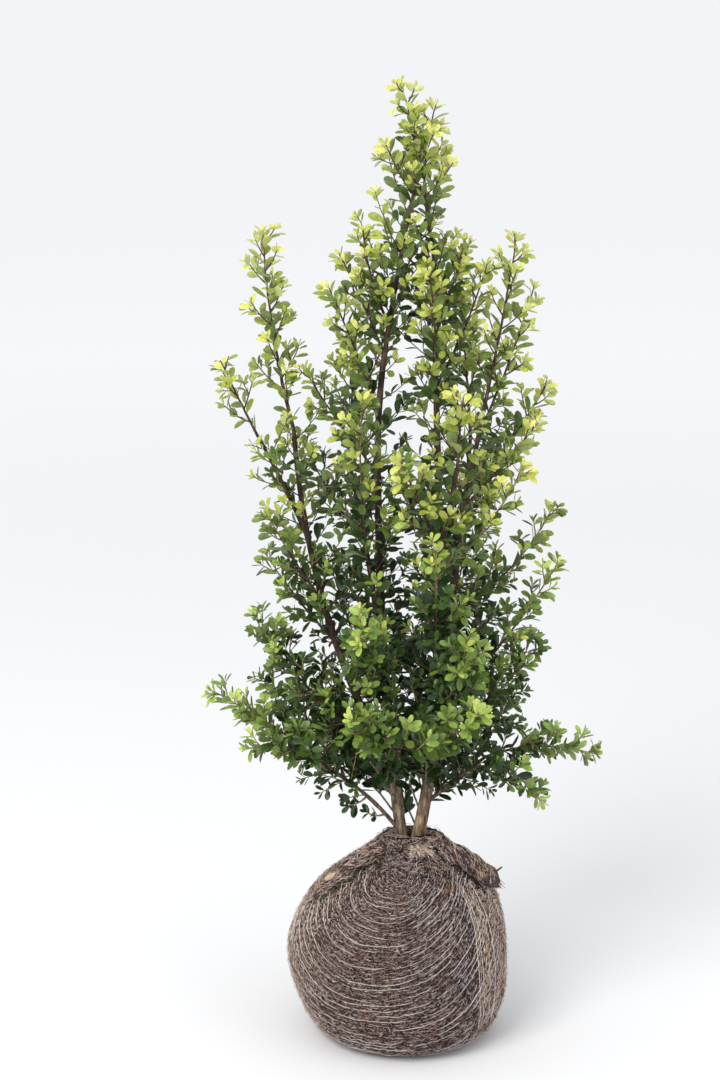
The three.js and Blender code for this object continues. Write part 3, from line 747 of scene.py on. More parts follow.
def grow_shoot(curve, first, radii, random, in_space, offset, size, vigour):
    """A twig with its leaves, ending in a rosette of small leaves, fresh where it has vigour."""
    steps = max(3, int(curve.length / SHOOT_STEP))
    points = curve.spaced(steps)
    wander = np.array([random() - 0.5 for _ in range(3 * len(points))]).reshape(-1, 3)
    wander[0] = 0
    points[1:] += wander[1:] * SHOOT_WANDER
    shares = np.linspace(0, 1, len(points))
    points[:, 2] += SHOOT_LIFT * curve.length * shares ** 2 * (curve.length < SHOOT_SHORT)
    crooked = Curve(points)
    widths = between(radii, shares ** 0.8)
    split = int(len(points) * OLD_SHARE) if curve.length > OLD_LEAST else 1
    if points[0][2] > OLD_WOOD:
        split = len(points) - 1
    if split > 1:
        old = "grey" if points[0][2] < GREY_WOOD else "old"
        tube(twig_heaps[old], points[:split + 1], widths[:split + 1], TWIG_SIDES)
    start = split if split > 1 else 0
    if start < len(points) - 1:
        tube(twig_heaps["young"], points[start:], widths[start:], TWIG_SIDES)
    place = first
    node = 0
    start_turn = random() * 6.28
    while place < crooked.length - ROSETTE_ROOM:
        from_tip = crooked.length - place
        airy = smoothstep(crooked.at(place / crooked.length)[2], *AIRY)
        length = LEAF_LENGTH * size * between(LEAF_VARY, random())
        length *= between(LEAF_NEAR_TIP, min(1, from_tip / TIP_REACH)) * (1 + LEAF_GROWTH * airy)
        lean = LEAF_LEAN * between(LEAN_VARY, random())
        add_leaf(crooked, place, start_turn + node * GOLDEN, lean, length, random, in_space,
                 offset, vigour * math.exp(-from_tip / FRESH_REACH))
        place += between(LEAF_SPACING, airy) * between(SPACING_VARY, random())
        node += 1
    for i in range(ROSETTE):
        place = crooked.length - ROSETTE_FIRST - ROSETTE_STEP * i
        lean = math.radians(20 + 10 * i + 12 * random())
        length = LEAF_LENGTH * size * (0.48 + 0.08 * i)
        add_leaf(crooked, place, start_turn + (node + i) * GOLDEN, lean, length, random,
                 in_space, offset, vigour * math.exp(-2.0 * i / FRESH_REACH))
    return crooked


def vigour_of(height, random):
    """Near the top every shoot is fresh, and lower down only some are."""
    lively = between(LIVELY_SHARE, smoothstep(height, *LIVELY))
    return 1.0 if random() < lively else LIMP


def side_curve(stem, share, turn, reach):
    """A side twig's course, out from its stem and turning up."""
    root = stem.at(share)
    away = sideways(stem.heading(share), turn, TWIG_LEAN)
    tip = root + away * reach * TWIG_SAG + UP * reach * TWIG_RISE
    middle = root + away * reach * 0.5
    return bowed(root, tip, middle - (root + tip) / 2)


def grow_mass(spec, index):
    """The mass's stem, its side twigs by the solids' rule, and finer twigs on those."""
    name, parent_name, share, bearing, reach, height, bow, spread = spec
    parent = limbs[parent_name]
    angle = math.radians(bearing)
    tip = np.array([reach * math.cos(angle), reach * math.sin(angle), height])
    curve = bowed(foot_on(parent, share), tip, bow)
    chain = curve.spaced(14)
    heading = curve.heading(1)
    random = make_random(index + 1)

    def in_space(point):
        if (point - tip).dot(heading) > 1.0:
            return False
        if point[2] < BALL_TOP and math.hypot(point[0], point[1]) < BALL_REACH:
            return False
        distance, share_of_way = chain_distance(point, chain)
        if height < LOW_MASS and point[2] < curve.at(share_of_way)[2] - HANGING * spread:
            return False
        return distance <= spread

    end = 1 - ROSETTE_ROOM / curve.length
    stem = Curve(curve.at(np.linspace(0, end, 40)))
    offset = TINT_SPREAD * (random() - 0.5) + (BRIGHTER if name in BRIGHT else 0)
    tint_spread = BRIGHT_TINT_SPREAD if name in BRIGHT else TWIG_TINT_SPREAD
    broad = BROAD if name in BRIGHT else 1.0
    foot = parent.radius(1) if share == 1 else MASS_STEM_RADII[0]
    first = 4 if share == 1 else parent.radius(share) + 8
    stem = grow_shoot(stem, first, (foot, MASS_STEM_RADII[1]), random, in_space, offset, broad, 1.0)
    dense = DENSE[0] < height < DENSE[1]
    leader = parent_name in STEMS and share == 1
    stretch = TWIG_LAST - TWIG_FIRST
    spacing = np.interp(height, AIRY, TWIG_SPACING) * (TWIGS_CLOSER if dense or leader else 1.0)
    nodes = max(3, round(stem.length * stretch / spacing))
    for i in range(nodes):
        place = TWIG_FIRST + stretch * (i + 0.5) / nodes
        turn = i * GOLDEN + (index + 1) * SEED_TURN
        room = spread * (TWIG_FOOT - TWIG_TAPER * place) * between(TWIG_VARY, random())
        length = min(room - 0.45 * LEAF_LENGTH, 0.9 * spread)
        if share < 1:
            length *= np.interp(height, *SLIM)
        if leader:
            length *= between(LEADER_GAIN, place)
        length = min(length, stem.length * (1.03 - place))
        if length < TWIG_LEAST:
            continue
        for extra in TRIES:
            made = side_curve(stem, place, turn + math.radians(extra), length)
            if in_space(made.at(1)) and clear_of_limbs(made.at(1)) and clear_of_limbs(made.at(0.6)):
                break
        else:
            continue
        vigour = vigour_of(made.at(1)[2], random)
        side_offset = offset + tint_spread * (random() - 0.5)
        twig = grow_shoot(made, 5, TWIG_RADII, random, in_space, side_offset, TWIG_SIZE * broad, vigour)
        if length > FINER_LEAST and (height < AIRY[1] or random() < FINER):
            for k, where in enumerate(FINER_PLACES_DENSE if dense else FINER_PLACES):
                finer = side_curve(twig, where, turn + 2.4 * k + 1.3, length * 0.5)
                if in_space(finer.at(1)) and clear_of_limbs(finer.at(1)):
                    grow_shoot(finer, 4, FINER_RADII, random, in_space, side_offset,
                               FINER_SIZE * broad, 0.6 * vigour)


def near_limb(limb):
    """True for points beside a limb and above the ball."""
    def near(point):
        return point[2] > BALL_TOP + 25 and chain_distance(point, limb.chain)[0] < LIMB_NEAR
    return near


def dress_limb(limb, index):
    """Short leafy spurs along a limb, above the bare foot of the plant."""
    random = make_random(SPUR_SEED + index)
    place = SPUR_FIRST
    node = 0
    near = near_limb(limb)
    while place < limb.curve.length - 10:
        share = place / limb.curve.length
        root = limb.curve.at(share)
        kind = "bough" if limb.name not in STEMS else "waist" if root[2] > SPURS_WAIST else "stem"
        spacing, lean, least, longer, rise, bow, fresh = SPURS["low" if root[2] < SPURS_LOW else kind]
        place += spacing + SPUR_VARY * random()
        node += 1
        if root[2] < BARE_FOOT + 24 * random():
            continue
        away = sideways(limb.curve.heading(share), node * GOLDEN + index, math.radians(lean))
        start = root + away * limb.radius(share) * 0.6
        length = least + longer * random()
        tip = start + away * length + UP * length * rise
        if clear_of_limbs(tip):
            vigour = vigour_of(tip[2], random) * fresh
            curve = bowed(start, tip, (0, 0, length * bow))
            # Spur leaves are scored 0.1 lower, so they are painted darker: painted shade along the limbs
            # inside the crown.
            grow_shoot(curve, limb.radius(share) + 3, SPUR_RADII, random, near, -0.1, FINER_SIZE, vigour)


def grow_foot_shoot(spec, index):
    """A thin shoot that rises from a stem near the ground, with leaves painted darker lowest down as
    painted shade under the crown.
    """
    limb_name, share, tip, bow = spec
    limb = limbs[limb_name]
    random = make_random(FOOT_SEED + index)
    curve = bowed(limb.curve.at(share), tip, bow)
    # Low foot shoots get darker tints: painted shade under the crown.
    offset = 0.0 if tip[2] > FOOT_SHADE_HEIGHT else -0.2
    vigour = 1.0 if limb_name == "bough_low_front" else LIMP
    grow_shoot(curve, curve.length * 0.4, FOOT_SHOOT_RADII, random, near_limb(limb), offset,
               TWIG_SIZE, vigour)


for mass_index, mass_spec in enumerate(MASSES):
    grow_mass(mass_spec, mass_index)
for limb_index, limb_item in enumerate(limb_list):
    dress_limb(limb_item, limb_index)
for shoot_index, shoot_spec in enumerate(FOOT_SHOOTS):
    grow_foot_shoot(shoot_spec, shoot_index)

PER_LEAF = 2 + 4 * len(LEAF_STATIONS)  # corners: the root, four at each station, the end


def leaf_faces():
    """Corner numbers of one leaf's faces: the upper ones with three and four, then the lower."""
    upper = [[(0, 2, 1), (0, 3, 2)], []]
    lower = [[(0, 1, 4), (0, 4, 3)], []]
    for left in range(1, PER_LEAF - 6, 4):
        top, right, under = range(left + 1, left + 4)
        upper[1] += [(top, top + 4, left + 4, left), (top, right, right + 4, top + 4)]
        lower[1] += [(under, left, left + 4, under + 4), (under, under + 4, right + 4, right)]
    left, top, right, under, end = range(PER_LEAF - 5, PER_LEAF)
    upper[0] += [(top, end, left), (top, right, end)]
    lower[0] += [(under, left, end), (under, end, right)]
    return [np.array(faces) for faces in upper + lower]


def outline_edges(pairs):
    """True for the edges where a leaf's upper and lower faces meet."""
    low, high = np.sort(pairs % PER_LEAF, axis=1).T
    sides = (low % 2 == 1) & (high == low + 4)
    root = (low == 0) & ((high == 1) | (high == 3))
    tip = (low == PER_LEAF - 3) & (high == PER_LEAF - 1)
    return sides | root | tip


def leaf_heap(rows):
    """Leaves of rows of a root, three directions, a length, a bend and a fold."""
    root, along, across, normal, length, bend, fold = map(np.array, zip(*rows))
    corners = np.zeros((len(rows), PER_LEAF, 3))
    corners[:, 0] = root

    def place(index, station, y, lift=0.0):
        drop = -bend * length * station * station
        corners[:, index] = (root + along * ((station + PETIOLE) * length)[:, None]
                             + across * (y * length)[:, None] + normal * (drop + lift)[:, None])

    for first, (station, wide) in zip(range(1, PER_LEAF, 4), LEAF_STATIONS):
        half = wide * LEAF_WIDTH / 2
        rise = fold * half * length
        place(first, station, half, rise)
        place(first + 1, station, 0)
        place(first + 2, station, -half, rise)
        place(first + 3, station, 0, -LEAF_THICK * (0.4 + 0.6 * wide))
    place(PER_LEAF - 1, 1.0, 0)
    heap = Heap()
    heap.add(corners.reshape(-1, 3), repeated(leaf_faces(), len(rows), PER_LEAF), (0, 0, 1, 1))
    return heap


def leaf_materials(name, upper, under, roughness, under_roughness, glow):
    """The materials of a leaf's two sides."""
    return [leaf_material(name, upper, roughness, glow),
            leaf_material(name + "_under", under, under_roughness, glow)]


# Colours of the upper and the lower side, roughness of the upper one, and glow.
# The deep and dark tints are darker partly as painted shade, for leaves low and inside the crown.
LEAF_COLOURS = {
    "tip": ((206, 208, 108), (206, 210, 136), 0.44, 0.12),
    "young": ((174, 182, 84), (180, 188, 114), 0.42, 0.12),
    "light": ((144, 156, 66), (158, 168, 100), 0.40, 0.1),
    "mid": ((104, 126, 52), (128, 144, 88), 0.37, 0.06),
    "deep": ((64, 90, 36), (94, 112, 66), 0.34, 0.04),
    "dark": ((30, 52, 20), (56, 74, 42), 0.33, 0.02),
    "low_tip": ((180, 197, 98), (184, 198, 124), 0.44, 0.1),
    "low_young": ((154, 178, 82), (164, 182, 108), 0.42, 0.1),
    "low_light": ((128, 155, 68), (144, 164, 96), 0.40, 0.08),
}
foliage_nodes = ["foliage_" + spec[0] for spec in MASSES]
for tint in TINTS:
    upper, under, roughness, glow = LEAF_COLOURS[tint]
    sides = leaf_materials("leaf_" + tint, upper, under, roughness, 0.6, glow)
    piece = build("leaves_" + tint, leaf_heap(leaves.rows[tint]), sides, outline_edges)
    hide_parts(*foliage_nodes)

# Barks, each with a dark, a middle and a pale colour.
GREY_BARK = ((48, 40, 31), (106, 91, 70), (160, 144, 118))
BROWN_BARK = ((40, 28, 23), (68, 47, 38), (98, 72, 58))
TWIG_BARK = ((44, 28, 22), (76, 50, 40), (108, 78, 62))
YOUNG_BARK = ((96, 80, 50), (140, 122, 78), (172, 156, 106))
TWIG_BARKS = {"grey": GREY_BARK, "old": TWIG_BARK, "young": YOUNG_BARK}
TWIG_GRAIN = 400  # how fine the bark's pattern is
for age, barks in TWIG_BARKS.items():
    twig_bark = bark_material("twig_" + age, barks, barks, TWIG_GRAIN)
    twigs = build("twigs_" + age, twig_heaps[age], [twig_bark])
    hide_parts(*foliage_nodes)


# ------------------------------------------------------------------ bark of stems and boughs

def bark_tube(heap, limb, sides, step):
    """A limb's own shape with ridges and swellings worked into the mesh."""
    count = int(limb.curve.length / step) + 1
    shares = np.linspace(0, 1, count)
    points = limb.curve.at(shares)
    _, levels, overs = frames(points, (0.2, 1, 0.1))
    away = spokes(levels, overs, sides).reshape(-1, 3)
    middle = np.repeat(points, sides, axis=0)
    radius = np.repeat(limb.radius(shares), sides)
    corners = middle + away * radius[:, None]
    stretched = corners * (1, 1, 0.3)
    swellings = radius * (0.07 * noise(stretched, 9, 1) + 0.05 * noise(middle, 26, 4))
    ridges = 0.25 * noise(stretched, 2.6, 2) + 0.18 * noise(corners, 1.7, 3)
    corners += away * (swellings + ridges)[:, None]
    heap.add(np.concatenate([corners, points[:1], points[-1:]]), ring_faces(count, sides))


STEM_BARKS = {
    "stem_left": GREY_BARK,
    "stem_right": ((56, 45, 34), (124, 101, 77), (174, 150, 120)),
}
LOW_BARK = ((40, 33, 26), (84, 71, 56), (128, 112, 92))
bough_bark = bark_material("bough_bark", LOW_BARK, BROWN_BARK, 220, (0.28, 0.36))
for stem_name in STEMS:
    stem_bark = bark_material(stem_name + "_bark", STEM_BARKS[stem_name], BROWN_BARK, 160, (0.30, 0.45))
    stem_heap = Heap()
    bark_tube(stem_heap, limbs[stem_name], 26, 2.2)
    piece = build(stem_name + "_bark", stem_heap, [stem_bark])
    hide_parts(stem_name)
bough_heap = Heap()
for bough in BOUGHS:
    bark_tube(bough_heap, limbs[bough[0]], 12, 4.0)
piece = build("boughs_bark", bough_heap, [bough_bark])
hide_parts(*[bough[0] for bough in BOUGHS])


# ------------------------------------------------------------------ root ball

profile = through([(r, 0, z) for r, z in BALL_OUTLINE])
PROFILE_LENGTH = profile.length
LIP = 1 - 9.0 / PROFILE_LENGTH  # share of the profile at the lip of the neck
SHARE_END = 0.004  # least share of the profile at which threads lie


def cloth_wave(angle, height):
    """The same pleats and lumps as the solid's."""
    neck = smoothstep(height, *PLEATED)
    waist = np.sin(math.pi * np.minimum(1, height / BALL_TOP))
    pleats = np.sin(PLEATS * angle + 0.9) * neck * PLEAT_DEPTH
    lumps = np.sin(3 * angle + height / 40) + np.cos(5 * angle - height / 29)
    return pleats + lumps * 0.5 * waist * LUMP_DEPTH


def ball_point(angle, share):
    """A point on the ball at an angle round it and a share of the way up its outline."""
    angle = np.asarray(angle, float)
    ring = profile.at(share)
    radius = ring[..., 0]
    height = ring[..., 2]
    shift = (NECK_OFFSET * smoothstep(height, *NECK_SHIFT)
             + SAG * (1 - smoothstep(height, 0, SAG_HEIGHT)))
    tuck = TUCK * np.maximum(0, np.cos(angle)) ** 2 * smoothstep(radius, 60, 110)
    radius = radius + cloth_wave(angle, height) * smoothstep(radius, 24, 34) - tuck
    return np.stack([radius * np.cos(angle) + shift, radius * np.sin(angle), height + 0 * angle], -1)


def ball_normal(angle, share):
    step = SHARE_END
    round_it = ball_point(angle + step, share) - ball_point(angle - step, share)
    up_it = ball_point(angle, np.minimum(1, share + step)) - ball_point(angle, share - step)
    return units(np.cross(round_it, up_it))


def on_ball(angle, share, lift):
    return ball_point(angle, share) + ball_normal(angle, share) * np.asarray(lift)[..., None]


ROUND = 220  # corners of each ring of the ball
RINGS = 120
NECK_TOP = 236
SOIL_SUNK = 1.3  # how far the soil's middle lies under the solid's surface
grid_angle = np.tile(np.arange(ROUND) * 2 * math.pi / ROUND, RINGS)
grid_share = np.repeat(np.linspace(0, 1, RINGS), ROUND)
soil = ball_point(grid_angle, grid_share)
normal = ball_normal(grid_angle, grid_share)
fade = smoothstep(grid_share, 0.0, 0.12)
relief = layered(soil, ((1.2, 17, 5), (0.8, 6, 6), (0.7, 3, 7))) - SOIL_SUNK
soil = soil + normal * (relief * fade)[:, None]
soil[:, 2] = np.maximum(soil[:, 2], 0.0)
soil = np.concatenate([soil, [[SAG, 0, 0]], [[NECK_OFFSET, 0, NECK_TOP]]])
soil_heap = Heap()
soil_heap.add(soil, ring_faces(RINGS, ROUND))
SOIL_GRAINS = ((20, 15, 14), (72, 57, 53), (158, 134, 124))
soil_material = earth_material("ball_soil", SOIL_GRAINS, 560, 0.8, (0.43, 0.51, 0.6))
piece = build("ball_soil", soil_heap, [soil_material])
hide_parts("root_ball")


# ------------------------------------------------------------------ threads of the netting cloth

# Each kind of strand has a dark, a middle and a pale colour.
STRANDS = {
    "light": ((204, 188, 178), (238, 227, 218), (252, 246, 240)),
    "dull": ((150, 129, 120), (212, 190, 180), (240, 224, 215)),
    "brown": ((112, 88, 79), (180, 149, 136), (220, 191, 176)),
    "dark": ((22, 17, 18), (42, 34, 34), (78, 65, 63)),
    "grey": ((128, 118, 124), (178, 168, 174), (212, 203, 208)),
    "tan": ((152, 124, 104), (198, 168, 144), (226, 200, 178)),
    "rust": ((140, 88, 66), (168, 112, 86), (190, 136, 108)),
    "moss": ((66, 70, 44), (94, 100, 62), (122, 128, 84)),
}
# How far to the right each part of the cloth reaches, as a sine, and the shares of its kinds of
# strand, added up. What is left is dark. The paler mixes at the left and right edges are partly
# painted light, where the ball's sides catch the bright surroundings.
CLOTH_KINDS = (
    (-0.55, {"dull": 0.38, "tan": 0.58, "light": 0.76, "brown": 0.93}),
    (0.25, {"dull": 0.31, "brown": 0.54, "light": 0.65, "grey": 0.72, "tan": 0.79}),
    (0.86, {"grey": 0.30, "dull": 0.42, "light": 0.51, "brown": 0.63}),
    (1, {"tan": 0.38, "light": 0.64, "dull": 0.84, "brown": 0.93}),
)
RING_KINDS = {"tan": 0.2, "dull": 0.5, "brown": 0.7, "grey": 0.8}
THROAT_KINDS = {"dull": 0.25, "brown": 0.55}
STRAND_LOWEST = 0.4
STRAND_POINT = 0.35  # how thick a strand's ends are, over its middle
LOOSE_RADIUS = 0.42
NECK_RADIUS = 0.5
THROAT_REACH = 32
THROAT_HEIGHT = 238
ROWS_END = 262  # size of the largest rows
ROW_START = 6  # how far below the neck's lip a row begins
ROW_SWAY = 1.5
# Rows of short dashes, and fewer of long bright runs: lengths, the gap after each at most, points,
# lift, radius, how far they stray from the row and how much they kink, and the kind if it is one.
DASHES = ((3, 9), 3.0, 3, 0.35, 0.38, 0.7, 0.2)
BRIGHT_RUNS = ((20, 100), 70.0, 12, 1.2, 0.33, 0.5, 0.3, "light")
FRONT = math.radians(-105)
CENTRE_DOWN = 42.0  # how far below the neck's lip the arcs' middle lies
WIDE = 0.92  # width of an arc over its depth
SQUARE = 0.82  # below 1, arcs run flatter at the bottom and steeper at the sides than a circle
SHARES = np.linspace(0, 1, 101)
ball_radius = profile.at(SHARES)[:, 0]
strand_heaps = {kind: Heap() for kind in STRANDS}
cloth_random = np.random.RandomState(7)


def lay_strands(paths, kinds, radii):
    """Three-sided strands, drawn to a point at both ends, along paths of equal counts."""
    paths = np.asarray(paths, float)
    paths[..., 2] = np.maximum(paths[..., 2], STRAND_LOWEST)
    steps = paths.shape[1]
    headings = units(np.gradient(paths, axis=1))
    levels = units(np.cross(headings, ASKEW))
    slim = np.ones(steps)
    slim[[0, -1]] = STRAND_POINT
    size = (np.asarray(radii, float)[:, None] * slim)[..., None, None]
    rings = paths[:, :, None] + size * spokes(levels, np.cross(headings, levels), 3)
    last = (steps - 1) * 3
    faces = [ring_faces(steps, 3)[0], np.array([[2, 1, 0], [last, last + 1, last + 2]])]
    for kind, heap in strand_heaps.items():
        chosen = rings[np.asarray(kinds) == kind]
        heap.add(chosen.reshape(-1, 3), repeated(faces, len(chosen), steps * 3))


def pick(kinds, chance):
    """The kind of strand in whose share a chance from 0 to 1 falls."""
    return next((kind for kind, share in kinds.items() if chance < share), "dark")


def strand_kind(side, chance):
    """The cloth is brown in front, grey towards the right shoulder and paler at both edges, partly as
    painted light on the ball's sides.
    """
    return next(pick(kinds, chance) for limit, kinds in CLOTH_KINDS if side <= limit)


def patchy(points, chances):
    """Chances pushed up and down in patches, so that kinds of strand gather."""
    return np.clip(chances + layered(points, ((0.22, 26, 11), (0.14, 8, 12))), 0, 1)


def arc_row(size, centre):
    """Angles, shares and lengths along a row: down from the neck, round its middle, up again."""
    upright = between((ROW_START, CENTRE_DOWN), np.linspace(0, 1, 12)[:-1])
    turns = np.linspace(-math.pi / 2, math.pi / 2, max(10, int(size * 3.1 / 4)))
    fall = np.abs(np.cos(turns)) ** SQUARE
    reach = np.copysign(np.abs(np.sin(turns)) ** SQUARE, turns)
    down = np.concatenate([upright, CENTRE_DOWN + size * fall, upright[::-1]])
    across = np.concatenate([np.full(len(upright), -1.0), reach, np.full(len(upright), 1.0)])
    down = down + ROW_SWAY * np.cos(across * 4 + size) * (1 - np.abs(across))
    share = LIP - down / PROFILE_LENGTH
    radius = np.interp(np.minimum(share, LIP - CENTRE_DOWN / PROFILE_LENGTH), SHARES, ball_radius)
    angle = centre + WIDE * size * across / radius
    keep = (np.abs(angle - centre) < math.radians(92)) & (share < LIP - SHARE_END) & (share > SHARE_END)
    angle = angle[keep]
    share = share[keep]
    points = ball_point(angle, share)
    along = np.concatenate([[0], np.cumsum(np.linalg.norm(np.diff(points, axis=0), axis=1))])
    return angle, share, along


def lay_row(size, centre, lengths, gap, count, lift, radius, stray, kink, kind=None):
    """Dashes or longer runs of thread along one row, as DASHES and BRIGHT_RUNS say."""
    angle, share, along = arc_row(size, centre)
    place = -lengths[1] * cloth_random.rand()
    paths = []
    kinds = []
    radii = []
    while place < along[-1]:
        length = between(lengths, cloth_random.rand())
        spots = place + np.linspace(0, 1, count) * length
        place += length + gap * cloth_random.rand()
        if spots[0] < 0 or spots[-1] > along[-1]:
            continue
        angles = np.interp(spots, along, angle)
        shares = np.interp(spots, along, share) + cloth_random.normal() * stray / PROFILE_LENGTH
        shares = shares + kink * cloth_random.normal(size=count) / PROFILE_LENGTH
        rise = lift + 0.5 * cloth_random.normal(size=count)
        rise[[0, -1]] = -0.5
        paths.append(on_ball(angles, shares, rise))
        side = math.sin(angles[count // 2] - centre)
        chance = patchy(paths[-1][:1], cloth_random.rand())[0]
        kinds.append(kind or strand_kind(side, chance))
        radii.append(radius * (0.8 + 0.5 * cloth_random.rand()))
    if paths:
        lay_strands(paths, kinds, radii)


# Rows that sag in arcs below the gathered neck, front and back, with a brighter one at times.
for centre in (FRONT, FRONT + math.pi):
    size = 10.0
    while size < ROWS_END:
        lay_row(size, centre, *DASHES)
        size += 1.9 + 0.8 * cloth_random.rand()
    size = 16.0
    while size < ROWS_END:
        lay_row(size + 0.9, centre, *BRIGHT_RUNS)
        size += 5.5 + 5.5 * cloth_random.rand()


def fibre_paths(share, angle, slope, length, lift, bend):
    """Short fibres on the ball, with as many points each as lift has columns."""
    steps = np.linspace(-0.5, 0.5, lift.shape[1])[None] * length[:, None]
    radius = np.interp(share, SHARES, ball_radius)[:, None]
    angles = angle[:, None] + (steps * np.sin(slope)[:, None] + bend[:, None] * steps ** 2) / radius
    shares = np.clip(share[:, None] - steps * np.cos(slope)[:, None] / PROFILE_LENGTH, SHARE_END, LIP)
    flat = on_ball(angles.ravel(), shares.ravel(), lift.ravel())
    return flat.reshape(*lift.shape, 3)


def arc_slope(share, angle):
    """The way the rows run at a point of the ball, and how far to the side it lies."""
    gap = (angle - FRONT + math.pi) % (2 * math.pi) - math.pi
    centre_gap = np.where(np.abs(gap) < math.pi / 2, gap, gap - np.copysign(math.pi, gap))
    across = centre_gap * np.interp(share, SHARES, ball_radius) / WIDE
    down = (LIP - share) * PROFILE_LENGTH - CENTRE_DOWN
    return np.arctan2(across, down) + math.pi / 2, np.sin(gap)


def lay_fibres(count, scatter, lengths, lift, radius, tips=(-0.7, 0.5)):
    """Loose fibres all over the ball, as dense below as above."""
    share = cloth_random.rand(count * 2) * LIP
    keep = cloth_random.rand(count * 2) < np.interp(share, SHARES, ball_radius) / BALL_WIDEST
    share = share[keep][:count]
    angle = cloth_random.rand(len(share)) * 2 * math.pi
    slope, side = arc_slope(share, angle)
    slope = slope + cloth_random.normal(size=len(share)) * scatter
    length = between(lengths, cloth_random.rand(len(share)))
    bend = cloth_random.normal(size=len(share)) * 0.09
    raised = (lift * cloth_random.rand(len(share)))[:, None] + np.array(tips)
    paths = fibre_paths(share, angle, slope, length, raised, bend)
    chances = patchy(paths[:, 0], cloth_random.rand(len(share)))
    kinds = [strand_kind(s, c) for s, c in zip(side, chances)]
    radii = radius * (0.7 + 0.6 * cloth_random.rand(len(share)))
    lay_strands(paths, kinds, radii)


lay_fibres(11500, 1.0, (2.0, 5.5), 1.2, 0.36)
lay_fibres(700, 1.2, (5, 12), 0.4, 0.26, (-0.6, 0.6, 1.8, 3.0))


def lay_patch(angle_degrees, share, width, height, count, kinds, slope):
    """A patch of fibres of some kinds, as wide and high as given, with its middle at a spot."""
    shares = share + height / PROFILE_LENGTH * (cloth_random.rand(count) - 0.5)
    radius = np.interp(share, SHARES, ball_radius)
    angles = math.radians(angle_degrees) + width / radius * (cloth_random.rand(count) - 0.5)
    slopes = slope + 0.4 * cloth_random.normal(size=count)
    lengths = 4 + 4 * cloth_random.rand(count)
    raised = (0.6 + cloth_random.rand(count))[:, None] + np.array([-0.6, 0.3, -0.6])
    paths = fibre_paths(shares, angles, slopes, lengths, raised, np.zeros(count))
    lay_strands(paths, cloth_random.choice(kinds, count), np.full(count, LOOSE_RADIUS))


# Patches: angle in degrees, share of the way up, width, height, fibres, kinds and slope.
PATCHES = [
    (-57, 0.756, 14, 5, 26, ["rust"], 1.57),
    (-160, 0.885, 16, 26, 70, ["moss", "dark"], 0.5),
    (-130, 0.87, 10, 14, 24, ["moss", "dark"], 0.3),
    (-39, 0.44, 12, 160, 170, ["tan", "light", "dull"], 0.05),
    (-28, 0.46, 14, 160, 170, ["tan", "dull", "brown"], 0.05),
    (-16, 0.52, 14, 150, 150, ["tan", "dull", "light"], 0.0),
    (-54, 0.50, 16, 130, 170, ["dark", "grey"], 0.1),
    (-166, 0.70, 22, 14, 60, ["tan", "dull"], 0.9),
    (-76, 0.935, 28, 14, 150, ["tan", "light", "tan"], 0.8),
    # Dark fibres in front just below the neck's ring: painted shade under the ring.
    (-104, 0.925, 30, 10, 60, ["dark", "dark", "dull"], 1.4),
    (-100, 0.87, 44, 26, 120, ["grey", "dull", "dark"], 1.5),
    # Band under the right roll: its tan, dull and brown fibres are the cloth's own, its dark ones
    # painted shadow under the roll.
    (-42, 0.88, 42, 32, 260, ["dark", "brown", "dull", "tan"], 0.85),
]
for patch in PATCHES:
    lay_patch(*patch)


def spots_under(points):
    """The angle, share and normal of the ball under each point, and the point's height over it."""
    rising = SHARES[SHARES < 0.97]
    heights = profile.at(rising)[:, 2]
    shift = NECK_OFFSET * smoothstep(points[:, 2], *NECK_SHIFT)
    angle = np.arctan2(points[:, 1], points[:, 0] - shift)
    level = points[:, 2]
    for _ in range(4):
        share = np.interp(level, heights, rising)
        normal = ball_normal(angle, share)
        gap = ((points - ball_point(angle, share)) * normal).sum(axis=1)
        level = points[:, 2] - gap * normal[:, 2]
    return angle, share, normal, gap


def lay_shade(points, aside, kinds, slope):
    """Patches of fibres tucked in beside a roll, aside millimetres round the ball from it; dark ones are
    painted shadow cast by the roll on the ball.
    """
    angles, shares, _, _ = spots_under(through(points).at(np.linspace(0.08, 0.92, 8)))
    for angle, share in zip(angles, shares):
        angle += aside / np.interp(share, SHARES, ball_radius)
        lay_patch(math.degrees(angle), share, 7, 11, 34, kinds, slope)


# Dark fibres under the right roll and on both sides of the left fold are painted shadow; the moss among
# them is the cloth's own colour.
lay_shade(ROLL_RIGHT, -13, ["dark"], 0.9)
lay_shade(FOLD_LEFT, 10, ["dark", "dark", "moss"], -0.9)
lay_shade(FOLD_LEFT, -12, ["dark"], -0.9)


def lay_seam(angles, share, length, kinds):
    """Long upright threads on the right of the ball."""
    count = len(angles)
    lift = 1.1 + 0.35 * cloth_random.normal(size=(count, 18))
    paths = fibre_paths(np.full(count, share), np.radians(angles), np.full(count, 0.04),
                        np.full(count, length), lift, np.zeros(count))
    lay_strands(paths, kinds, np.full(count, LOOSE_RADIUS))


lay_seam([-46, -44.5, -43, -38, -33], 0.46, 190.0, ["light", "tan", "light", "tan", "light"])


def lay_round_neck(angles, radii, heights, kinds):
    """Fibres round the neck, of points at angles, distances from its middle and heights."""
    paths = np.stack([NECK_OFFSET + radii * np.cos(angles), radii * np.sin(angles), heights], -1)
    chosen = [pick(kinds, chance) for chance in cloth_random.rand(len(paths))]
    lay_strands(paths, chosen, np.full(len(paths), NECK_RADIUS))


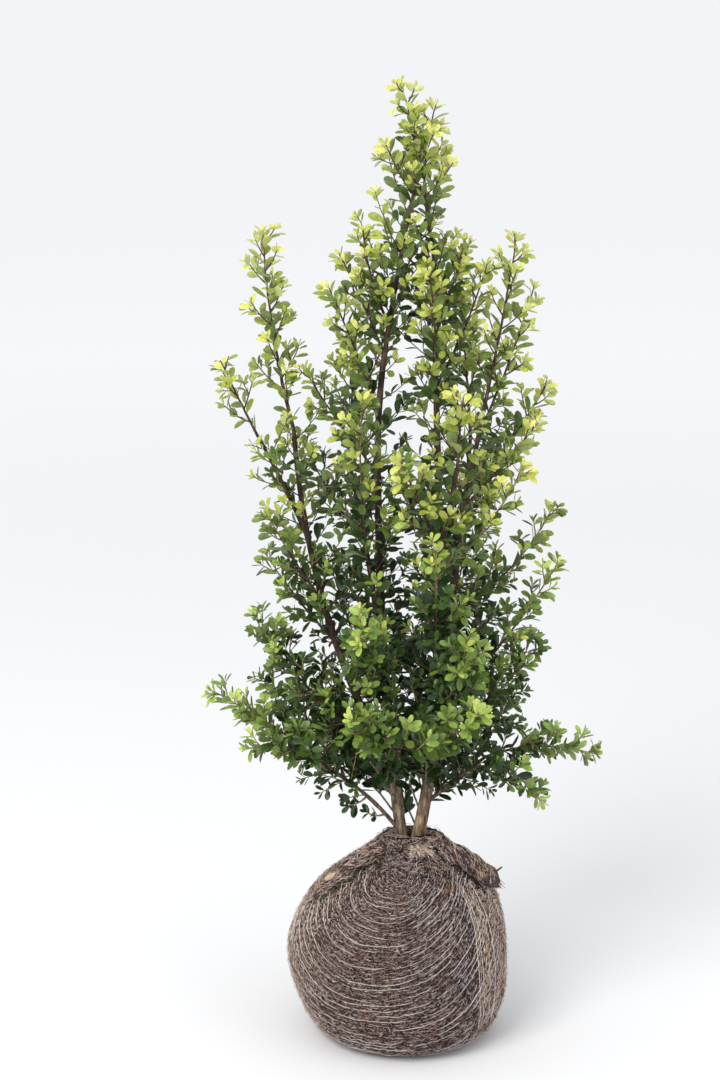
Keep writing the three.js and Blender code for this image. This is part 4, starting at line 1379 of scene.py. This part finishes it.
def lay_ring(count, reach, height, thick):
    """The rolled edge of the cloth round the neck, of matted fibres."""
    spread = np.linspace(-0.5, 0.5, 5)[None]
    angles = (cloth_random.rand(count) * 2 * math.pi)[:, None]
    angles = angles + spread * ((4 + 9 * cloth_random.rand(count)) / reach)[:, None]
    around = (cloth_random.rand(count) * 2 * math.pi)[:, None]
    around = around + spread * cloth_random.normal(size=count)[:, None]
    lumps = 1 + 0.22 * np.sin(5 * angles + 1.1) + 0.16 * np.sin(9 * angles + 2.3)
    out = thick * lumps * (0.8 + 0.35 * cloth_random.rand(count))[:, None]
    heights = height + 1.6 * np.sin(2 * angles + 2.2) + out * np.sin(around)
    lay_round_neck(angles, reach + out * np.cos(around), heights, RING_KINDS)


def lay_throat(count):
    """Fibres between the neck's edge and the feet of the stems."""
    angles = (cloth_random.rand(count) * 2 * math.pi)[:, None]
    inner = (6 + 14 * cloth_random.rand(count))[:, None]
    along = np.linspace(0, 1, 5)[None]
    angles = angles + along * (0.9 * cloth_random.normal(size=count))[:, None]
    heights = THROAT_HEIGHT + (3.0 * cloth_random.rand(count))[:, None] + 2.0 * np.sin(0.3 + 2.7 * along)
    lay_round_neck(angles, between((THROAT_REACH, inner), along), heights, THROAT_KINDS)


lay_ring(560, 33.0, 236.5, 4.2)
lay_throat(260)


# ------------------------------------------------------------------ rolls of cloth

def twisted_roll(name, points, node, thick, turns, lumps, end, matted, lying=None):
    """A roll of cloth twisted like a rope, with fibres on it and a tuft at its end.

    It is thick at the start and the end, lumpy as lumps says and drawn in at the end to the share
    that end says. With lying, its middle is that share of its size above the ball all along.
    """
    middle = through(points).spaced(ROLL_STEPS)
    _, levels, overs = frames(middle, UP)
    shares = np.linspace(0, 1, ROLL_STEPS + 1)
    size = between(thick, shares)
    size = size * np.minimum(1, 0.5 + 2.5 * np.minimum(shares + 0.1, 1.02 - shares))
    size = size * (1 + lumps * noise(middle, 11, 9))
    size = size * (1 + (end - 1) * smoothstep(shares, 0.15, 0.9))
    if lying is not None:
        _, _, normal, gap = spots_under(middle)
        middle = middle - normal * (gap - size * lying)[:, None]
    twist = turns * 2 * math.pi * shares
    phases = [strand * 2 * math.pi / ROLL_STRANDS for strand in range(ROLL_STRANDS)]
    ridges = [middle + (size * 0.5)[:, None] * turned(phase + twist, levels, overs) for phase in phases]
    body = Heap()
    for ridge in ridges:
        tube(body, ridge, size * 0.52, 12)
    shape = np.concatenate(body.corners)
    rough = layered(shape, ((0.7, 4, 3), (0.3, 2, 4)))
    body.corners = [shape + rough[:, None] * unit(np.array([0.2, -0.8, 0.5]))]
    piece = build(name, body, [roll_material])
    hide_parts(node)
    paths = []
    kinds = []
    for _ in range(ROLL_FIBRES):
        strand = cloth_random.randint(ROLL_STRANDS)
        start = int(cloth_random.rand() * (ROLL_STEPS - 12))
        index = start + np.linspace(0, 4 + 6 * cloth_random.rand(), 4).astype(int)
        turn = cloth_random.normal() * 1.2 + np.linspace(0, matted * cloth_random.normal(), 4)
        around = phases[strand] + twist[index] + turn
        lift = (size[index] * 0.53 + 0.2 + 0.6 * cloth_random.rand())[:, None]
        paths.append(ridges[strand][index] + turned(around, levels[index], overs[index]) * lift)
        kinds.append(ROLL_KINDS[int(cloth_random.rand() ** 1.2 * len(ROLL_KINDS))])
    lay_strands(paths, kinds, np.full(len(paths), LOOSE_RADIUS))
    tuft = []
    heading = unit(middle[-1] - middle[-4])
    for _ in range(TUFT_FIBRES):
        away = cloth_random.normal(size=3) * 0.5
        start = middle[-3] + size[-3] * 0.7 * (away[0] * levels[-3] + away[1] * overs[-3])
        reach = 4 + 5 * cloth_random.rand()
        tuft.append([start + (heading + 0.4 * away) * reach * t for t in np.linspace(0, 1, 5)])
    lay_strands(tuft, TUFT_KINDS * (TUFT_FIBRES // len(TUFT_KINDS)), np.full(TUFT_FIBRES, 0.4))


ROLL_STRANDS = 4
ROLL_STEPS = 80
ROLL_FIBRES = 620
TUFT_FIBRES = 60
TUFT_KINDS = ["brown", "dull", "dark"]
ROLL_KINDS = ("dark", "brown", "dull", "brown", "grey", "tan", "brown")
ROLL_GRAINS = ((30, 24, 23), (84, 70, 65), (142, 124, 116))
roll_material = earth_material("roll_cloth", ROLL_GRAINS, 400)
twisted_roll("roll_right", ROLL_RIGHT, "wrap_roll_right", thick=(9.5, 12), turns=0.8, lumps=0.12,
             end=1.0, matted=0.5)
twisted_roll("fold_left", FOLD_LEFT, "wrap_fold_left", thick=(10, 12), turns=0.7, lumps=0.3,
             end=0.5, matted=1.0, lying=0.62)
stub = Heap()
tube(stub, [(104, -31, 200), (112, -32, 206), (120, -34, 213)], [1.5, 1.3, 1.0], 7)
build("twig_stub", stub, [bark_material("stub_bark", TWIG_BARK, TWIG_BARK, TWIG_GRAIN)])


def scrap(root, along, facing, length, bend):
    """A scrap shaped like a leaf that lies on the ball, as a row like the leaves have."""
    along = unit(np.array(along))
    across = unit(np.cross(facing, along))
    return [(np.array(root), along, across, np.cross(along, across), length, bend, 0.1)]


straw = scrap((-73, -41.5, 209), (-0.83, 0.12, -0.54), (-0.3, -0.75, 0.6), 16.0, 0.0)
straw_sides = leaf_materials("straw", (196, 168, 142), (176, 152, 124), 0.7, 0.7, 0)
build("straw_scrap", leaf_heap(straw), straw_sides)
fleck = scrap((-95, 6, 178.5), (-0.55, -0.35, -0.75), (-0.6, -0.5, 0.6), 9.0, 0.1)
fleck_sides = leaf_materials("yellowed", (206, 196, 52), (190, 180, 80), 0.5, 0.5, 0)
build("yellow_leaf", leaf_heap(fleck), fleck_sides)
for kind, heap in strand_heaps.items():
    strand_material = earth_material("strand_" + kind, STRANDS[kind], 620, 0.3, (0.41, 0.5, 0.6))
    build("cloth_strands_" + kind, heap, [strand_material])


# ------------------------------------------------------------------ floor, light and camera

def floor_material():
    """Plain pale paint, a little brighter far away, where it meets the backdrop."""
    material, tree, shader = nodes_of("floor_pale", Roughness=0.9, Specular_IOR_Level=0.0)
    reach = tree.nodes.new("ShaderNodeVectorMath")
    reach.operation = "LENGTH"
    tree.links.new(place_of(tree), reach.inputs[0])
    far = fill(tree.nodes.new("ShaderNodeMapRange"), From_Min=0.8, From_Max=7.0)
    far.interpolation_type = "SMOOTHSTEP"
    tree.links.new(reach.outputs["Value"], far.inputs["Value"])
    paint = add_ramp(tree, far.outputs["Result"], (0, 1), ((0.84, 0.84, 0.845), (0.995, 0.995, 0.995)))
    tree.links.new(paint, shader.inputs["Base Color"])
    return material


# The photo's camera, solved from the marks of the staff beside the plant.
CAMERA_PLACE = (-0.046, -2.47, 1.121)
CAMERA_TILT = math.radians(78.01)
CAMERA_LENS = 73.33
LIGHT_TARGET = np.array([0, 0, 0.5])

bpy.ops.mesh.primitive_circle_add(vertices=96, radius=70.0, fill_type="NGON", location=(0, 0, 0))
floor = bpy.context.object
floor.name = "floor"
floor.data.materials.append(floor_material())

world = bpy.data.worlds.new("studio")
bpy.context.scene.world = world
world.use_nodes = True
fill(world.node_tree.nodes["Background"], Color=(0.93, 0.945, 0.97, 1), Strength=0.96)
bpy.context.scene.view_settings.view_transform = "Standard"


def area_light(name, place, size, power, colour):
    """A square light aimed at the plant's middle."""
    light = bpy.data.lights.new(name, "AREA")
    light.shape = "SQUARE"
    light.size = size
    light.energy = power
    light.color = colour
    lamp = bpy.data.objects.new(name, light)
    bpy.context.scene.collection.objects.link(lamp)
    lamp.location = place
    heading = LIGHT_TARGET - np.array(place)
    lamp.rotation_euler = Vector(heading).to_track_quat("-Z", "Y").to_euler()


area_light("key", (-1.7, -2.6, 3.0), 1.9, 105, (1, 0.985, 0.96))
area_light("fill", (2.4, -2.0, 1.8), 2.0, 12, (0.96, 0.98, 1))

camera_data = bpy.data.cameras.new("camera")
camera_data.sensor_fit = "AUTO"
camera_data.sensor_width = 36
camera_data.lens = CAMERA_LENS
camera = bpy.data.objects.new("camera", camera_data)
bpy.context.scene.collection.objects.link(camera)
camera.location = CAMERA_PLACE
camera.rotation_euler = (CAMERA_TILT, 0, 0)
bpy.context.scene.camera = camera

print("leaves", {tint: len(rows) for tint, rows in leaves.rows.items()})
